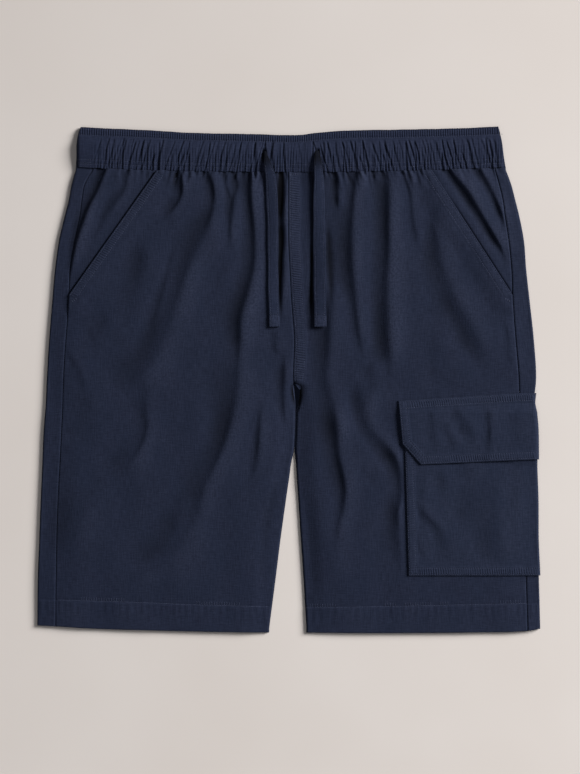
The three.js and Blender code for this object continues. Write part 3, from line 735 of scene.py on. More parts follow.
def front_height(side, x, y):
    """The outer face of a front panel."""
    sign = outward(side)
    away = opening_distance(side, x, y)
    along = beside(OPENINGS[side], x, y)[1]
    outer_edge, inner_edge = front_edges(side)
    from_outer = sign * (outer_edge(y) - x)
    from_inner = sign * (x - inner_edge(y))
    height = upper_face(side, x, y) + WALL + LAYER * smooth(OPENING_FADE, OPENING_HOLD, away)
    height = height + crease_relief(x, y) * smooth(3, 12, away)
    height = height + topstitched(away, along) * smooth(POCKET_END_Y - 4, POCKET_END_Y, y)
    if side == "right":
        height = height + 1.3 * topstitched(from_inner, y, FLY_NEAR, FLY_FAR) * smooth(-6, 2, y)
    height = height + hem_relief(side, x, y)
    pit = 1.6 * bell(from_inner, 5) * bell(y + 14, 13)
    inseam = 0.5 * smooth(CROTCH_Y + 5, CROTCH_Y - 10, y)
    at_seam = smooth(POCKET_END_Y + 6, POCKET_END_Y - 2, y)
    drop, reach = SIDE_SEAM_ROLL[side]
    height = height - pit - roll(from_outer, mix(0.35, drop, at_seam), mix(0.9, reach, at_seam))
    between_legs = smooth(-12, -20, y) * smooth(-95, -70, y) * (1.0 if side == "right" else 0.0)
    height = height - roll(from_inner, 0.6 + inseam + 0.9 * between_legs, 2.2 + 1.4 * between_legs)
    hem = read(HEM_EDGE, "x", "y", x)
    height = height - roll(y - hem, 0.35, 1.2) - roll(waist_seam(x) - y, *WAIST_ROLL)
    return np.maximum(height, LOWER_TOP + 0.1)


def front_painted_shade_and_wear(side, x, y):
    """Painted shade that darkens the grooves and the pit at the crotch, and the paler wear of seams, added to
    a front panel's relief.
    """
    # Painted shade: the grooves beside the cords are darkened beyond their depth.
    tone = GROOVE_SHADE * groove_relief(x, y)
    from_crotch = outward(side) * (x - front_edges(side)[1](y))
    # Painted shade: the pit at the crotch is darkened in colour.
    tone = tone - CROTCH_SHADE * bell(from_crotch, 2.6) * bell(y + 15, 10)
    tone = tone + seam_tone(opening_distance(side, x, y)) * smooth(POCKET_END_Y - 4, POCKET_END_Y, y)
    if side == "right":
        from_inner = x - front_edges(side)[1](y)
        tone = tone + seam_tone(from_inner, FLY_FAR) * smooth(-6, 2, y)
    return tone


def opening_shade(side, y):
    """How deep the facing sinks beside the pocket's edge: the edge clings in places. Through the facing's
    relief the sinking is also painted dark, as painted shade.
    """
    if side == "left":
        return OPENING_SHADE * (1 - 0.65 * bell(y - 155, 26))
    return OPENING_SHADE * (0.2 + 0.5 * smooth(196, 165, y))


def facing_height(side, x, y):
    from_seam = outward(side) * (side_seam(side, y) - x)
    height = upper_face(side, x, y) + WALL + 0.6 * crease_relief(x, y)
    height = height - opening_shade(side, y) * bell(opening_distance(side, x, y), 1.4)
    return height - roll(from_seam, *SIDE_SEAM_ROLL[side]) - roll(waist_seam(x) - y, *WAIST_ROLL)


def quads(index):
    corners = [index[:-1, :-1], index[1:, :-1], index[1:, 1:], index[:-1, 1:]]
    return np.stack([corner.ravel() for corner in corners], axis=1)


def zip_lines(above, below):
    """Triangles between two lines of points, which may differ in number."""
    triangles = []
    i = j = 0
    while i < len(above) - 1 or j < len(below) - 1:
        next_above = (i + 1) / (len(above) - 1) if i < len(above) - 1 else math.inf
        next_below = (j + 1) / (len(below) - 1) if j < len(below) - 1 else math.inf
        if next_below <= next_above:
            triangles.append((above[i], below[j], below[j + 1]))
            j += 1
        else:
            triangles.append((above[i], below[j], above[i + 1]))
            i += 1
    return triangles


def add_mesh(name, points, faces, material, flat=None, relief=0.0):
    """A smooth shaded piece of the shorts, with its place in the cloth kept as UVs in mm, and
    how far each point stands above or below the smooth form, which the cloth's colour turns into painted
    shade in hollows and paler wear on raised places."""
    mesh = bpy.data.meshes.new(name)
    mesh.from_pydata((np.asarray(points) * MM).tolist(), [], faces)
    mesh.update()
    mesh.polygons.foreach_set("use_smooth", np.ones(len(mesh.polygons), bool))
    if flat is not None:
        corner = np.zeros(len(mesh.loops), np.int32)
        mesh.loops.foreach_get("vertex_index", corner)
        layer = mesh.uv_layers.new(name="cloth")
        layer.data.foreach_set("uv", np.asarray(flat, np.float32)[corner].ravel())
        # This attribute drives painted shade in the cloth's hollows as well as paler wear on its raised
        # places.
        shade_and_wear = mesh.attributes.new("relief", "FLOAT", "POINT")
        shade_and_wear.data.foreach_set("value", np.asarray(relief, np.float32).ravel())
    mesh.materials.append(material)
    piece = bpy.data.objects.new(name, mesh)
    bpy.context.scene.collection.objects.link(piece)
    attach(piece, "root")
    return piece


def some(count, step):
    """Every so many of a count of rows, the last one always among them."""
    return np.unique(np.append(np.arange(0, count, step), count - 1))


def shell(name, outer, inner, flat, material, step=5, relief=0.0):
    """A closed thin wall: a fine outer face, a coarser inner one and the edges between."""
    rows, columns = outer.shape[:2]
    kept_rows = some(rows, step)
    kept_columns = some(columns, step)
    under = inner[np.ix_(kept_rows, kept_columns)]
    outer_index = np.arange(rows * columns).reshape(rows, columns)
    inner_index = rows * columns + np.arange(under.shape[0] * under.shape[1]).reshape(under.shape[:2])
    faces = quads(outer_index).tolist() + quads(inner_index)[:, ::-1].tolist()
    faces += zip_lines(inner_index[0], outer_index[0])
    faces += zip_lines(outer_index[-1], inner_index[-1])
    faces += zip_lines(outer_index[:, 0], inner_index[:, 0])
    faces += zip_lines(inner_index[:, -1], outer_index[:, -1])
    points = np.concatenate([outer.reshape(-1, 3), under.reshape(-1, 3)])
    under_flat = flat[np.ix_(kept_rows, kept_columns)]
    places = np.concatenate([flat.reshape(-1, 2), under_flat.reshape(-1, 2)])
    faces = [[int(corner) for corner in face] for face in faces]
    stands = np.zeros(len(points))
    stands[: rows * columns] = np.broadcast_to(relief, (rows, columns)).ravel()
    return add_mesh(name, points, faces, material, places, stands)


def flat_area(flat):
    """The area of a cloth piece laid out flat, in square metres."""
    across = (np.diff(flat[:-1, :, 0], axis=1) + np.diff(flat[1:, :, 0], axis=1)) / 2
    down = -(np.diff(flat[:, :-1, 1], axis=0) + np.diff(flat[:, 1:, 1], axis=0)) / 2
    return float(np.abs(across * down).sum()) * MM * MM


def declare_sheet(node, flat):
    """Puts a piece in its solid's place, hiding the solid, and works out its cut: its width, length and area,
    which nothing uses.
    """
    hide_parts(node)
    width = float((flat[:, -1, 0] - flat[:, 0, 0]).max()) * MM
    length = float((flat[0, :, 1] - flat[-1, :, 1]).max()) * MM
    area = min(flat_area(flat), width * length)


def stack(x, y, z):
    return np.stack(np.broadcast_arrays(x, y, z), axis=-1)


def panel_rows(fine_until, coarse=1.5):
    """Rows from the waist seam to the hem, closer together beside the hand pockets."""
    upper = np.arange(WAIST_ROW, fine_until, -0.6)
    lower = np.arange(fine_until, HEM_ROW + 32, -coarse)
    hem = np.arange(HEM_ROW + 32, HEM_ROW, -0.9)
    return np.concatenate([upper, lower, hem, [HEM_ROW]])


EDGE_STEPS = np.array([0, 0.35, 0.75, 1.2, 1.7, 2.4, 3.2, 4.0, 4.8, 5.6, 6.4, 7.2, 8.0, 8.8, 9.6, 10.5, 11.6])


def columns(start, end, middle, first=EDGE_STEPS, last=EDGE_STEPS):
    """X of each column on each row: fixed steps beside both edges, and even ones between."""
    left = start[:, None] + first[None, :]
    right = end[:, None] - last[None, ::-1]
    share = np.linspace(0, 1, middle + 2)[None, 1:-1]
    return np.concatenate([left, mix(left[:, -1:], right[:, :1], share), right], axis=1)


def front_panel(side, material):
    outer_edge, inner_edge = front_edges(side)
    rows = panel_rows(84.0) if side == "left" else panel_rows(0.0, 1.9)
    ends = [meet(outer_edge, rows), meet(inner_edge, rows)]
    if side == "right":
        ends.reverse()
    x = columns(ends[0], ends[1], 146)
    y = row_y(x, rows[:, None])
    top = front_height(side, x, y)
    over = LAYER * smooth(OPENING_FADE, OPENING_HOLD, opening_distance(side, x, y))
    below = np.maximum(np.minimum(upper_face(side, x, y) + over, top - 0.8), WALL + 0.05)
    # Through this relief the panel's hollows and grooves get painted shade and its raised places paler wear.
    relief = top - plain_face(side, x, y) - WALL - over + front_painted_shade_and_wear(side, x, y)
    outer, inner = stack(x, y, top), stack(x, y, below)
    flat = outer[..., :2]
    piece = shell(f"front_{side}", outer, inner, flat, material, relief=relief)
    declare_sheet(f"front_panel_{side}", flat)


def pocket_facing(side, material):
    rows = np.append(np.arange(WAIST_ROW, POCKET_END_Y, -1.0), POCKET_END_Y)

    def hidden(y):
        return opening_x(side, y) - outward(side) * FACING_UNDERLAP

    ends = [meet(lambda y: side_seam(side, y), rows), meet(hidden, rows)]
    if side == "right":
        ends.reverse()
    steps = EDGE_STEPS[:6]
    x = columns(ends[0], ends[1], 50, steps, steps)
    y = row_y(x, rows[:, None])
    top = facing_height(side, x, y)
    below = np.minimum(upper_face(side, x, y), top - 0.8)
    relief = top - plain_face(side, x, y) - WALL
    outer, inner = stack(x, y, top), stack(x, y, below)
    flat = outer[..., :2]
    piece = shell(f"facing_{side}", outer, inner, flat, material, relief=relief)
    declare_sheet(f"pocket_facing_{side}", flat)


def outer_fold(side, row):
    """The outer fold at each row: its edge, height, lift, radius and centre."""
    sign = outward(side)
    edge = meet(lambda y: section(side, "outer", y), row)
    y = row_y(edge, row)
    lift = np.zeros(np.shape(row)) if side == "left" else lift_at(y)
    top = plain_face(side, edge - sign * 2, y) + WALL
    radius = (top - lift) / 2
    return edge, y, lift, radius, edge - sign * radius


ARC_STEPS = 14


def back_panel(side, material):
    """Lies on the table, turns round the outer fold and ends at the side seam on the front."""
    sign = outward(side)
    rows = panel_rows(218.0)
    edge, fold_y, lift, radius, centre = outer_fold(side, rows)

    def inner_edge(y):
        return inner_x(side, y) + sign * SEAM_SLIT / 2

    start = meet(inner_edge, rows)[:, None]
    ramp = (edge - sign * UNDER_RAMP)[:, None]
    under_share = np.linspace(0, 1, 9)[None, :]
    ramp_share = np.linspace(0, 1, 5)[None, 1:]
    reach = (edge - sign * (UNDER_REACH + 1))[:, None]
    under_x = np.concatenate([mix(start, ramp, under_share), mix(ramp, reach, ramp_share)], axis=1)
    under_y = row_y(under_x, rows[:, None])
    end = meet(lambda y: side_seam(side, y, 1), rows)[:, None]
    near = EDGE_STEPS[None, :4][:, ::-1] * sign
    span = mix(centre[:, None], end + near[:, :1], np.linspace(0, 1, 15)[None, 1:-1])
    over_x = np.concatenate([span, end + near], axis=1)
    over_y = row_y(over_x, rows[:, None])
    angle = np.linspace(0, np.pi, ARC_STEPS + 1)[None, :]

    def line(outside):
        under_z = lower_lift(side, under_x, under_y) + (0 if outside else WALL)
        round_it = radius[:, None] + (0 if outside else -WALL)
        arc_x = centre[:, None] + sign * round_it * np.sin(angle)
        arc_y = np.broadcast_to(fold_y[:, None], arc_x.shape)
        arc_z = (lift + radius)[:, None] - round_it * np.cos(angle)
        over_z = upper_face(side, over_x, over_y)
        if outside:
            turned = hem_relief(side, over_x, over_y) - roll(sign * (over_x - end), *SIDE_SEAM_ROLL[side])
            over_z = over_z + WALL + turned + 0.5 * crease_relief(over_x, over_y)
        parts = [(under_x, under_y, under_z), (arc_x, arc_y, arc_z), (over_x, over_y, over_z)]
        return np.concatenate([stack(*part) for part in parts], axis=1)

    outer, inner = line(True), line(False)
    shown = over_x.shape[1]
    relief = np.zeros(outer.shape[:2])
    relief[:, -shown:] = outer[:, -shown:, 2] - plain_face(side, over_x, over_y) - WALL
    step = np.linalg.norm(np.diff(outer[:, :, [0, 2]], axis=1), axis=2)
    length = np.concatenate([np.zeros((len(rows), 1)), np.cumsum(step, axis=1)], axis=1)
    flat = np.stack([length - length[:, -1:], outer[..., 1]], axis=-1)
    if side == "right":
        outer, inner, flat, relief = outer[:, ::-1], inner[:, ::-1], flat[:, ::-1], relief[:, ::-1]
        flat = flat * np.array([-1, 1])
    piece = shell(f"back_{side}", outer, inner, flat, material, 3, relief)
    declare_sheet(f"back_panel_{side}", flat)


def wrapped(along, y, offset, relief=0.0):
    """A point at a distance along the outer right leg, over its fold and on underneath."""
    edge, fold_y, lift, radius, centre = outer_fold("right", y)
    outer_radius = radius + offset
    angle = np.clip((along - centre) / outer_radius, 0, np.pi)
    beyond = np.maximum(0, along - centre - np.pi * outer_radius)
    flat_x = np.minimum(along, centre)
    top = plain_face("right", flat_x, y) + WALL + offset + relief
    x = np.where(along < centre, along, centre + outer_radius * np.sin(angle) - beyond)
    round_z = lift + radius + outer_radius * np.cos(angle)
    z = np.where(along < centre, top, np.where(beyond > 0, lift - offset, round_z))
    return stack(x, y, z)


def unrolled_end(y, offset):
    edge, fold_y, lift, radius, centre = outer_fold("right", y)
    return centre + np.pi * (radius + offset) + centre - (edge - UNDER_REACH)


POCKET_OUTLINES = {"bag": BAG_OUTLINE, "flap": FLAP_OUTLINE}
POCKET_CREASES = {"bag": BAG_CREASES, "flap": FLAP_CREASES}


def pocket_offset(part, y):
    """How far a part of the pocket lies off the leg: the flap rises onto the bag's mouth."""
    if part == "bag":
        return LAYER
    return LAYER * mix(1, 2, np.clip((-24 - y) / 10, 0, 1))


def pocket_relief(part, along, y):
    away, length = beside(POCKET_OUTLINES[part], along, y)
    away = np.abs(away)
    sewn = topstitched(away, length, POCKET_NEAR[part], POCKET_FAR)
    relief = total_relief(POCKET_CREASES[part], along, y) * smooth(8, 14, away) + sewn
    if part == "bag":
        relief = relief + ease(along * 1.3, y * 1.3) * smooth(8, 20, away)
    return smooth(POCKET_FOLD_X + 6, POCKET_FOLD_X - 6, along) * (relief - roll(away, 0.55, 1.3))


def pocket_piece(part, along, y, material):
    offset = pocket_offset(part, y)
    relief = pocket_relief(part, along, y)
    tone = seam_tone(np.abs(beside(POCKET_OUTLINES[part], along, y)[0]), POCKET_FAR)
    outer = wrapped(along, y, offset, relief)
    inner = wrapped(along, y, offset - WALL)
    flat = stack(along, y, 0)[..., :2]
    piece = shell(f"cargo_{part}", outer, inner, flat, material, relief=relief + tone)
    declare_sheet(f"cargo_pocket_{part}", flat)


def cargo_bag(material):
    (left_top, top), (left_bottom, bottom) = BAG_OUTLINE[:2]
    y = np.append(np.arange(top, bottom, -0.62), bottom)[:, None]
    start = mix(left_top, left_bottom, (top - y[:, 0]) / (top - bottom))
    end = unrolled_end(y[:, 0], LAYER)
    along = columns(start, end, 270, EDGE_STEPS, EDGE_STEPS[:3])
    pocket_piece("bag", along, np.broadcast_to(y, along.shape), material)


def flap_top(x):
    left_x, left_y = FLAP_LEFT_TOP
    return np.minimum(FLAP_TOP_Y, left_y + FLAP_TOP_SLOPE * (x - left_x))


def flap_bottom(x):
    return np.interp(x, *zip(*FLAP_LOWER_EDGE))


def cargo_flap(material):
    share = np.linspace(0, 1, 118)[:, None]
    start = mix(FLAP_LEFT_TOP[0], FLAP_LOWER_EDGE[0][0], share[:, 0])
    end = unrolled_end(np.full(share.shape[0], -50.0), 2 * LAYER)
    along = columns(start, end, 280, EDGE_STEPS, EDGE_STEPS[:3])
    held = np.minimum(along, POCKET_FOLD_X)
    pocket_piece("flap", along, mix(flap_top(held), flap_bottom(held), share), material)


def header_ribs(x):
    return np.sin(2 * np.pi * x / RIB_PITCH + 1.3 * np.sin(x / 21))


def band_height(x, y, share):
    """The outer face of the waistband's front: ribbed header, gathers, and a turned seam."""
    ends = np.minimum(x - BAND_LEFT, BAND_RIGHT - x)
    calm = smooth(-208, -199, x)
    face = read(BAND_ROWS, "share", "face", share)
    gather = read(BAND_ROWS, "share", "gather", share)
    header = 0.34 * header_ribs(x) * smooth(HEADER_SHARE + 0.02, HEADER_SHARE - 0.04, share)
    uneven = 0.75 + 0.35 * np.sin(x / 5.7 + 3 * share)
    fine = uneven * (0.15 + 0.12 * share) * np.sin(2 * np.pi * x / 2.9 + np.sin(x / 9) + 2 * share)
    fine = fine * smooth(0.25, 0.6, share)
    groove = 0.5 * bell(share - HEADER_SHARE, 0.024)
    lower = 0.25 * sum(bell(share - row, 0.016) for row in BAND_ROW_SHARES)
    height = face + gather * 0.8 + header + calm * (crease_relief(x, y) + fine) - groove - lower
    slot = np.zeros(x.shape)
    for centre_x, centre_y in BUTTONHOLES.values():
        inside = smooth(BUTTONHOLE_LENGTH / 2 + 2.2, BUTTONHOLE_LENGTH / 2 - 2.5, np.abs(y - centre_y))
        slot = np.maximum(slot, bell(x - centre_x, 2.4) * inside)
    height = height - 2.6 * slot
    top_roll = 1.5 * (1 - smooth(0, 0.09, share)) ** 2
    return np.maximum(height - top_roll - roll(ends, 1.6, 4.5), 3.3)


def band_grid(rows, count):
    share = rows[:, None]
    across = np.linspace(0, 1, count)[None, :]
    x = mix(read(BAND_ROWS, "share", "left", share), read(BAND_ROWS, "share", "right", share), across)
    top = read(TOP_EDGE, "x", "y", x)
    scallop = 0.22 * header_ribs(x) * smooth(0.12, 0, share)
    return x, mix(top + scallop, waist_seam(x), share), np.broadcast_to(share, x.shape)


def waistband_front(material):
    rows = np.concatenate([np.linspace(0, 0.06, 7), np.linspace(0.075, 1.0, 58)])
    x, y, share = band_grid(rows, 830)
    z = band_height(x, y, share)
    flat = stack(x * GATHER_FULLNESS, y, 0)[..., :2]
    inner = stack(x, y, np.full(x.shape, BAND_UPPER_BASE))
    plain = read(BAND_ROWS, "share", "face", share) + 0.8 * read(BAND_ROWS, "share", "gather", share)
    # Painted shade: through this relief the band's creases and buttonhole slots are darkened; the offset of
    # 0.4 keeps its plain face clear of it.
    relief = z - plain + 0.4
    piece = shell("waistband_upper", stack(x, y, z), inner, flat, material, 5, relief)
    declare_sheet("waistband_front", flat)


def waistband_back(material):
    rows = np.concatenate([np.linspace(0, 0.06, 5), np.linspace(0.1, 1.0, 10)])
    x, y, share = band_grid(rows, 280)
    ends = np.minimum(x - BAND_LEFT, BAND_RIGHT - x)
    edge = 0.8 * (1 - smooth(0, 0.06, share)) ** 2 + roll(ends, 1.0, 3.5)
    top = BAND_LOWER_TOP + 0 * x
    bottom = np.minimum(edge, 1.2)
    flat = stack(x * GATHER_FULLNESS, y, 0)[..., :2]
    flip = (slice(None), slice(None, None, -1))
    lower, upper = stack(x, y, bottom)[flip], stack(x, y, top)[flip]
    under = flat[flip] * np.array([-1, 1])
    piece = shell("waistband_under", lower, upper, under, material, 2)
    declare_sheet("waistband_back", flat)


def tube_sides(rings, around):
    """The faces between rings of points, each ring with as many points around it."""
    faces = []
    for low in range(0, (rings - 1) * around, around):
        for here in range(around):
            following = (here + 1) % around
            faces.append((low + here, low + following, low + around + following, low + around + here))
    return faces


def cord_twist(side, y):
    return 0.10 * np.sin(y / 31 + outward(side))


def on_cord(side, y, share):
    """A place on top of a drawcord, at a share of its half width to the viewer's right."""
    y = np.asarray(y, float)
    route = curve_through(CORD_ROUTES[side], 16)[::-1]
    half = read(CORD_WIDTHS[side], "y", "width", y) / 2
    thick = CORD_THICK / 2 + CORD_HEM_THICK * smooth(CORD_HEM_Y + 1, CORD_HEM_Y - 1, y)
    x = np.interp(y, route[:, 1], route[:, 0]) + share * half
    z = np.interp(y, route[:, 1], route[:, 2]) + 0.93 * thick - cord_twist(side, y) * share * half
    return stack(x, y, z)


def cord_stitching(side, material):
    """A row along each edge of the tape and two across its hem."""
    lines = []
    for share in (-CORD_SEAM_SHARE, CORD_SEAM_SHARE):
        lines.append(on_cord(side, np.arange(222, 57, -0.8), share))
    for y in (CORD_HEM_Y, CORD_HEM_Y + 2):
        lines.append(on_cord(side, y, np.linspace(-0.8, 0.8, 16)))
    return sew(f"stitching_cord_{side}", lines, material)


def drawcord(side, material, thread):
    """A flat tape of the shell cloth, seamed along its edges and hemmed at its end."""
    centre = curve_through(CORD_ROUTES[side], 16)
    y = centre[:, 1]
    half = read(CORD_WIDTHS[side], "y", "width", y) / 2
    hem = smooth(CORD_HEM_Y + 1, CORD_HEM_Y - 1, y)
    step = np.gradient(centre, axis=0)
    step /= np.linalg.norm(step, axis=1)[:, None]
    across = np.cross(step, np.array([0, 0, 1.0]))
    across /= np.linalg.norm(across, axis=1)[:, None]
    twist = cord_twist(side, y)
    up = np.cross(across, step)
    angle = np.linspace(0, 2 * np.pi, 49)[:-1]
    round_x = np.sign(np.cos(angle)) * np.abs(np.cos(angle)) ** 0.55
    round_z = np.sign(np.sin(angle)) * np.abs(np.sin(angle)) ** 0.55
    edge_seam = bell(np.abs(round_x) - CORD_SEAM_SHARE, 0.09) * (np.sin(angle) > 0)
    rings = []
    relief = []
    for i in range(len(centre)):
        thick = CORD_THICK / 2 + CORD_HEM_THICK * hem[i]
        hem_seam_here = bell(y[i] - CORD_HEM_Y - 1, 0.9)
        sunk = 0.22 * edge_seam + 0.35 * hem_seam_here * (np.sin(angle) > 0)
        width_at = half[i] * (1 + 0.03 * math.sin(y[i] / 7))
        tilt = twist[i] * width_at * round_x
        height = thick * round_z - sunk + tilt
        rings.append(centre[i] + np.outer(width_at * round_x, across[i]) + np.outer(height, up[i]))
        # Painted shade: the tape is darkened where it leaves its buttonhole, in its seam and hem grooves and
        # along its sides; its hem is paler.
        shade = CORD_TOP_SHADE * smooth(*CORD_SHADE_Y, y[i]) - 0.7 * hem[i]
        relief.append(0.5 - shade - 3 * sunk - 1.6 * (np.abs(round_x) > 0.97))
    points = np.concatenate(rings)
    count = len(angle)
    faces = tube_sides(len(rings), count)
    faces.append(tuple(range(count))[::-1])
    last = (len(rings) - 1) * count
    faces.append(tuple(last + j for j in range(count)))
    length = np.concatenate([[0], np.cumsum(np.linalg.norm(np.diff(centre, axis=0), axis=1))])
    flat = np.stack([np.tile(round_x * CORD_WIDTH / 2, len(rings)), np.repeat(length, count)], axis=1)
    stands = np.concatenate(relief)
    piece = add_mesh(f"cord_{side}", points, faces, material, flat, stands)
    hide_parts(f"drawcord_{side}")
    cord_stitching(side, thread)


def stitch_shape():
    """One stitch lying along X: a grain of thread with four sides."""
    rings = [(-0.5, 0.0), (-0.36, 0.8), (0.0, 1.0), (0.36, 0.8), (0.5, 0.0)]
    sides = 4
    points = []
    for along, size in rings:
        for k in range(sides):
            turn = 2 * math.pi * k / sides
            radius = STITCH_RADIUS * max(size, 0.15)
            points.append((along * STITCH_LENGTH, radius * math.cos(turn), radius * math.sin(turn)))
    faces = tube_sides(len(rings), sides)
    faces.append(tuple(range(sides)))
    last = (len(rings) - 1) * sides
    faces.append(tuple(last + k for k in reversed(range(sides))))
    return np.array(points), faces


STITCH_POINTS, STITCH_FACES = stitch_shape()


def stitches_along(line, pitch=STITCH_PITCH):
    """The middle and direction of each stitch on a line of points in space."""
    line = np.asarray(line, float)
    step = np.linalg.norm(np.diff(line, axis=0), axis=1)
    length = np.concatenate([[0], np.cumsum(step)])
    at = np.arange(pitch / 2, length[-1], pitch)
    ahead = np.minimum(at + STITCH_LENGTH / 2, length[-1])
    behind = np.maximum(at - STITCH_LENGTH / 2, 0)

    def place(where):
        return np.stack([np.interp(where, length, line[:, k]) for k in range(3)], axis=1)

    return place(at), place(ahead) - place(behind)


def sew(name, lines, material, pitch=STITCH_PITCH):
    """Joins every stitch of some seam lines into one mesh."""
    points, faces = [], []
    total = 0
    for line in lines:
        for middle, direction in zip(*stitches_along(line, pitch)):
            size = np.linalg.norm(direction)
            if size < 0.3 * STITCH_LENGTH:
                continue
            forward = direction / size
            sideways = np.cross([0, 0, 1.0], forward)
            sideways /= max(np.linalg.norm(sideways), 1e-6)
            upward = np.cross(forward, sideways)
            turn = np.stack([forward, sideways, upward])
            points.append(middle + STITCH_POINTS @ turn)
            faces += [tuple(corner + total for corner in face) for face in STITCH_FACES]
            total += len(STITCH_POINTS)
    return add_mesh(name, np.concatenate(points), faces, material)


def on_front(side, x, y):
    x, y = np.broadcast_arrays(np.asarray(x, float), np.asarray(y, float))
    return stack(x, y, front_height(side, x, y) + STITCH_RISE)


def between(start, end):
    """Points on a straight line, from one place to another."""
    start, end = np.array(start, float), np.array(end, float)
    count = max(2, int(np.linalg.norm(end - start) / SEAM_STEP))
    return mix(start, end, np.linspace(0, 1, count)[:, None])


def opening_rows(side):
    """Twin needle rows beside a hand pocket's edge."""
    sign = outward(side)
    top, end = (np.array(point) for point in OPENINGS[side])
    way = (end - top) / np.linalg.norm(end - top)
    inward = np.array([way[1], -way[0]]) * sign
    lines = []
    for away in (TWIN_NEAR, TWIN_FAR):
        flat = between(top + inward * away, end + inward * away - way * (away * 0.6))
        lines.append(on_front(side, flat[:, 0], flat[:, 1]))
    return lines


def tack(side, start, end):
    """A dense little bar of thread on a front panel."""
    start, end = np.array(start, float), np.array(end, float)
    way = (end - start) / np.linalg.norm(end - start)
    across = np.array([-way[1], way[0]])
    lines = []
    for k in range(TACK_ROWS):
        shift = across * TACK_SPREAD * (k - (TACK_ROWS - 1) / 2)
        flat = between(start + shift, end + shift)
        lines.append(on_front(side, flat[:, 0], flat[:, 1]))
    return lines


def band_point(x, y):
    x, y = np.broadcast_arrays(np.asarray(x, float), np.asarray(y, float))
    top = read(TOP_EDGE, "x", "y", x)
    share = (top - y) / (top - waist_seam(x))
    return stack(x, y, band_height(x, y, share) + STITCH_RISE)


def band_row(share):
    x = np.arange(BAND_LEFT + 2, BAND_RIGHT - 2, 0.7)
    y = mix(read(TOP_EDGE, "x", "y", x), waist_seam(x), share)
    return band_point(x, y)


def on_pocket(part, flat):
    along, y = flat[:, 0], flat[:, 1]
    return wrapped(along, y, pocket_offset(part, y) + STITCH_RISE, pocket_relief(part, along, y))


def inset(outline, away):
    """An outline's points moved in, to the left of the way it runs."""
    points = np.array(outline, float)
    way = np.diff(points, axis=0)
    way /= np.linalg.norm(way, axis=1)[:, None]
    normal = np.stack([-way[:, 1], way[:, 0]], axis=1)
    moved = [points[0] + normal[0] * away]
    for i in range(1, len(points) - 1):
        both = normal[i - 1] + normal[i]
        moved.append(points[i] + both * away / (1 + normal[i - 1] @ normal[i]))
    moved.append(points[-1] + normal[-1] * away)
    return moved


def along_outline(outline, away):
    """A row of stitches beside an outline, as far as the outer fold."""
    points = inset(outline, away)
    line = np.concatenate([between(a, b) for a, b in zip(points, points[1:])])
    edge, fold_y, lift, radius, centre = outer_fold("right", line[:, 1])
    return line[line[:, 0] < centre + math.pi / 2 * (radius + LAYER)]


def pocket_rows(part):
    """Twin needle rows beside the outline of the pocket's bag or flap."""
    outline = POCKET_OUTLINES[part]
    return [on_pocket(part, along_outline(outline, away)) for away in (POCKET_NEAR[part], POCKET_FAR)]


def hem_rows(side):
    """The row that holds the hem, and the upright stitches that show above it in places."""
    rows = HEM_SEAMS[side]
    x = np.arange(rows["x"][0], rows["x"][-1], 0.8)
    lines = [on_front(side, x, hem_seam(side, x))]
    for at in np.arange(rows["x"][0] + 4, rows["x"][-1] - 4, HEM_RUNG_PITCH):
        if math.sin(at / 17) + 0.6 * math.sin(at / 5) > 0.1:
            height = np.linspace(*HEM_RUNG, 4)
            lines.append(on_front(side, at, hem_seam(side, at) + height))
    return lines


def sewing(material):
    openings = opening_rows("left") + opening_rows("right")
    for side in ("right", "left"):
        openings += tack(side, *POCKET_TACKS[side])
    sew("stitching_openings", openings, material)

    band = [band_row(share) for share in (HEADER_SHARE, *BAND_ROW_SHARES)]
    for y in BAND_END_ROWS:
        band.append(band_point(np.arange(*BAND_END_X, 0.7), y))
    sew("stitching_waistband", band, material)

    fly_y = np.arange(213, -3, -SEAM_STEP)
    fly = []
    for away in (FLY_NEAR, FLY_FAR):
        fly.append(on_front("right", inner_x("right", fly_y) + away, fly_y))
    fly += tack("right", *FLY_TACK)
    sew("stitching_centre", fly, material)

    pocket = pocket_rows("flap")
    pocket.append(on_pocket("flap", between(*FLAP_ROW)))
    sew("stitching_cargo_pocket", pocket + pocket_rows("bag"), material)

    sew("stitching_hems", hem_rows("left") + hem_rows("right"), material, HEM_STITCH_PITCH)


def feed(tree, socket, value):
    """Links another node's output to a socket, or sets a value there."""
    if isinstance(value, bpy.types.NodeSocket):
        tree.links.new(value, socket)
    else:
        socket.default_value = value


def node(tree, kind, inputs=None, **settings):
    """Adds a shader node. An input is a value, or another node's output to link."""
    made = tree.nodes.new("ShaderNode" + kind)
    for name, value in settings.items():
        setattr(made, name, value)
    for name, value in (inputs or {}).items():
        feed(tree, made.inputs[name], value)
    return made


def linear(red, green, blue):
    """A colour from its usual 0 to 255 values."""
    channels = []
    for channel in (red, green, blue):
        share = channel / 255
        channels.append(share / 12.92 if share <= 0.04045 else ((share + 0.055) / 1.055) ** 2.4)
    return (*channels, 1)


def blank_material(name):
    material = bpy.data.materials.new(name)
    material.use_nodes = True
    tree = material.node_tree
    tree.nodes.clear()
    return material, tree


def noise(tree, place, scale, detail=2.0, rough=0.5):
    moved = node(tree, "Mapping", {"Vector": place, "Scale": scale}).outputs["Vector"]
    settings = {"Vector": moved, "Scale": 1.0, "Detail": detail, "Roughness": rough}
    return node(tree, "TexNoise", settings).outputs["Fac"]


def spread_out(tree, value, low, high, to_low=0.0, to_high=1.0):
    inputs = {"Value": value, "From Min": low, "From Max": high, "To Min": to_low, "To Max": to_high}
    return node(tree, "MapRange", inputs).outputs["Result"]


def maths(tree, operation, first, second):
    made = node(tree, "Math", operation=operation)
    for socket, value in zip(made.inputs, (first, second)):
        feed(tree, socket, value)
    return made.outputs["Value"]


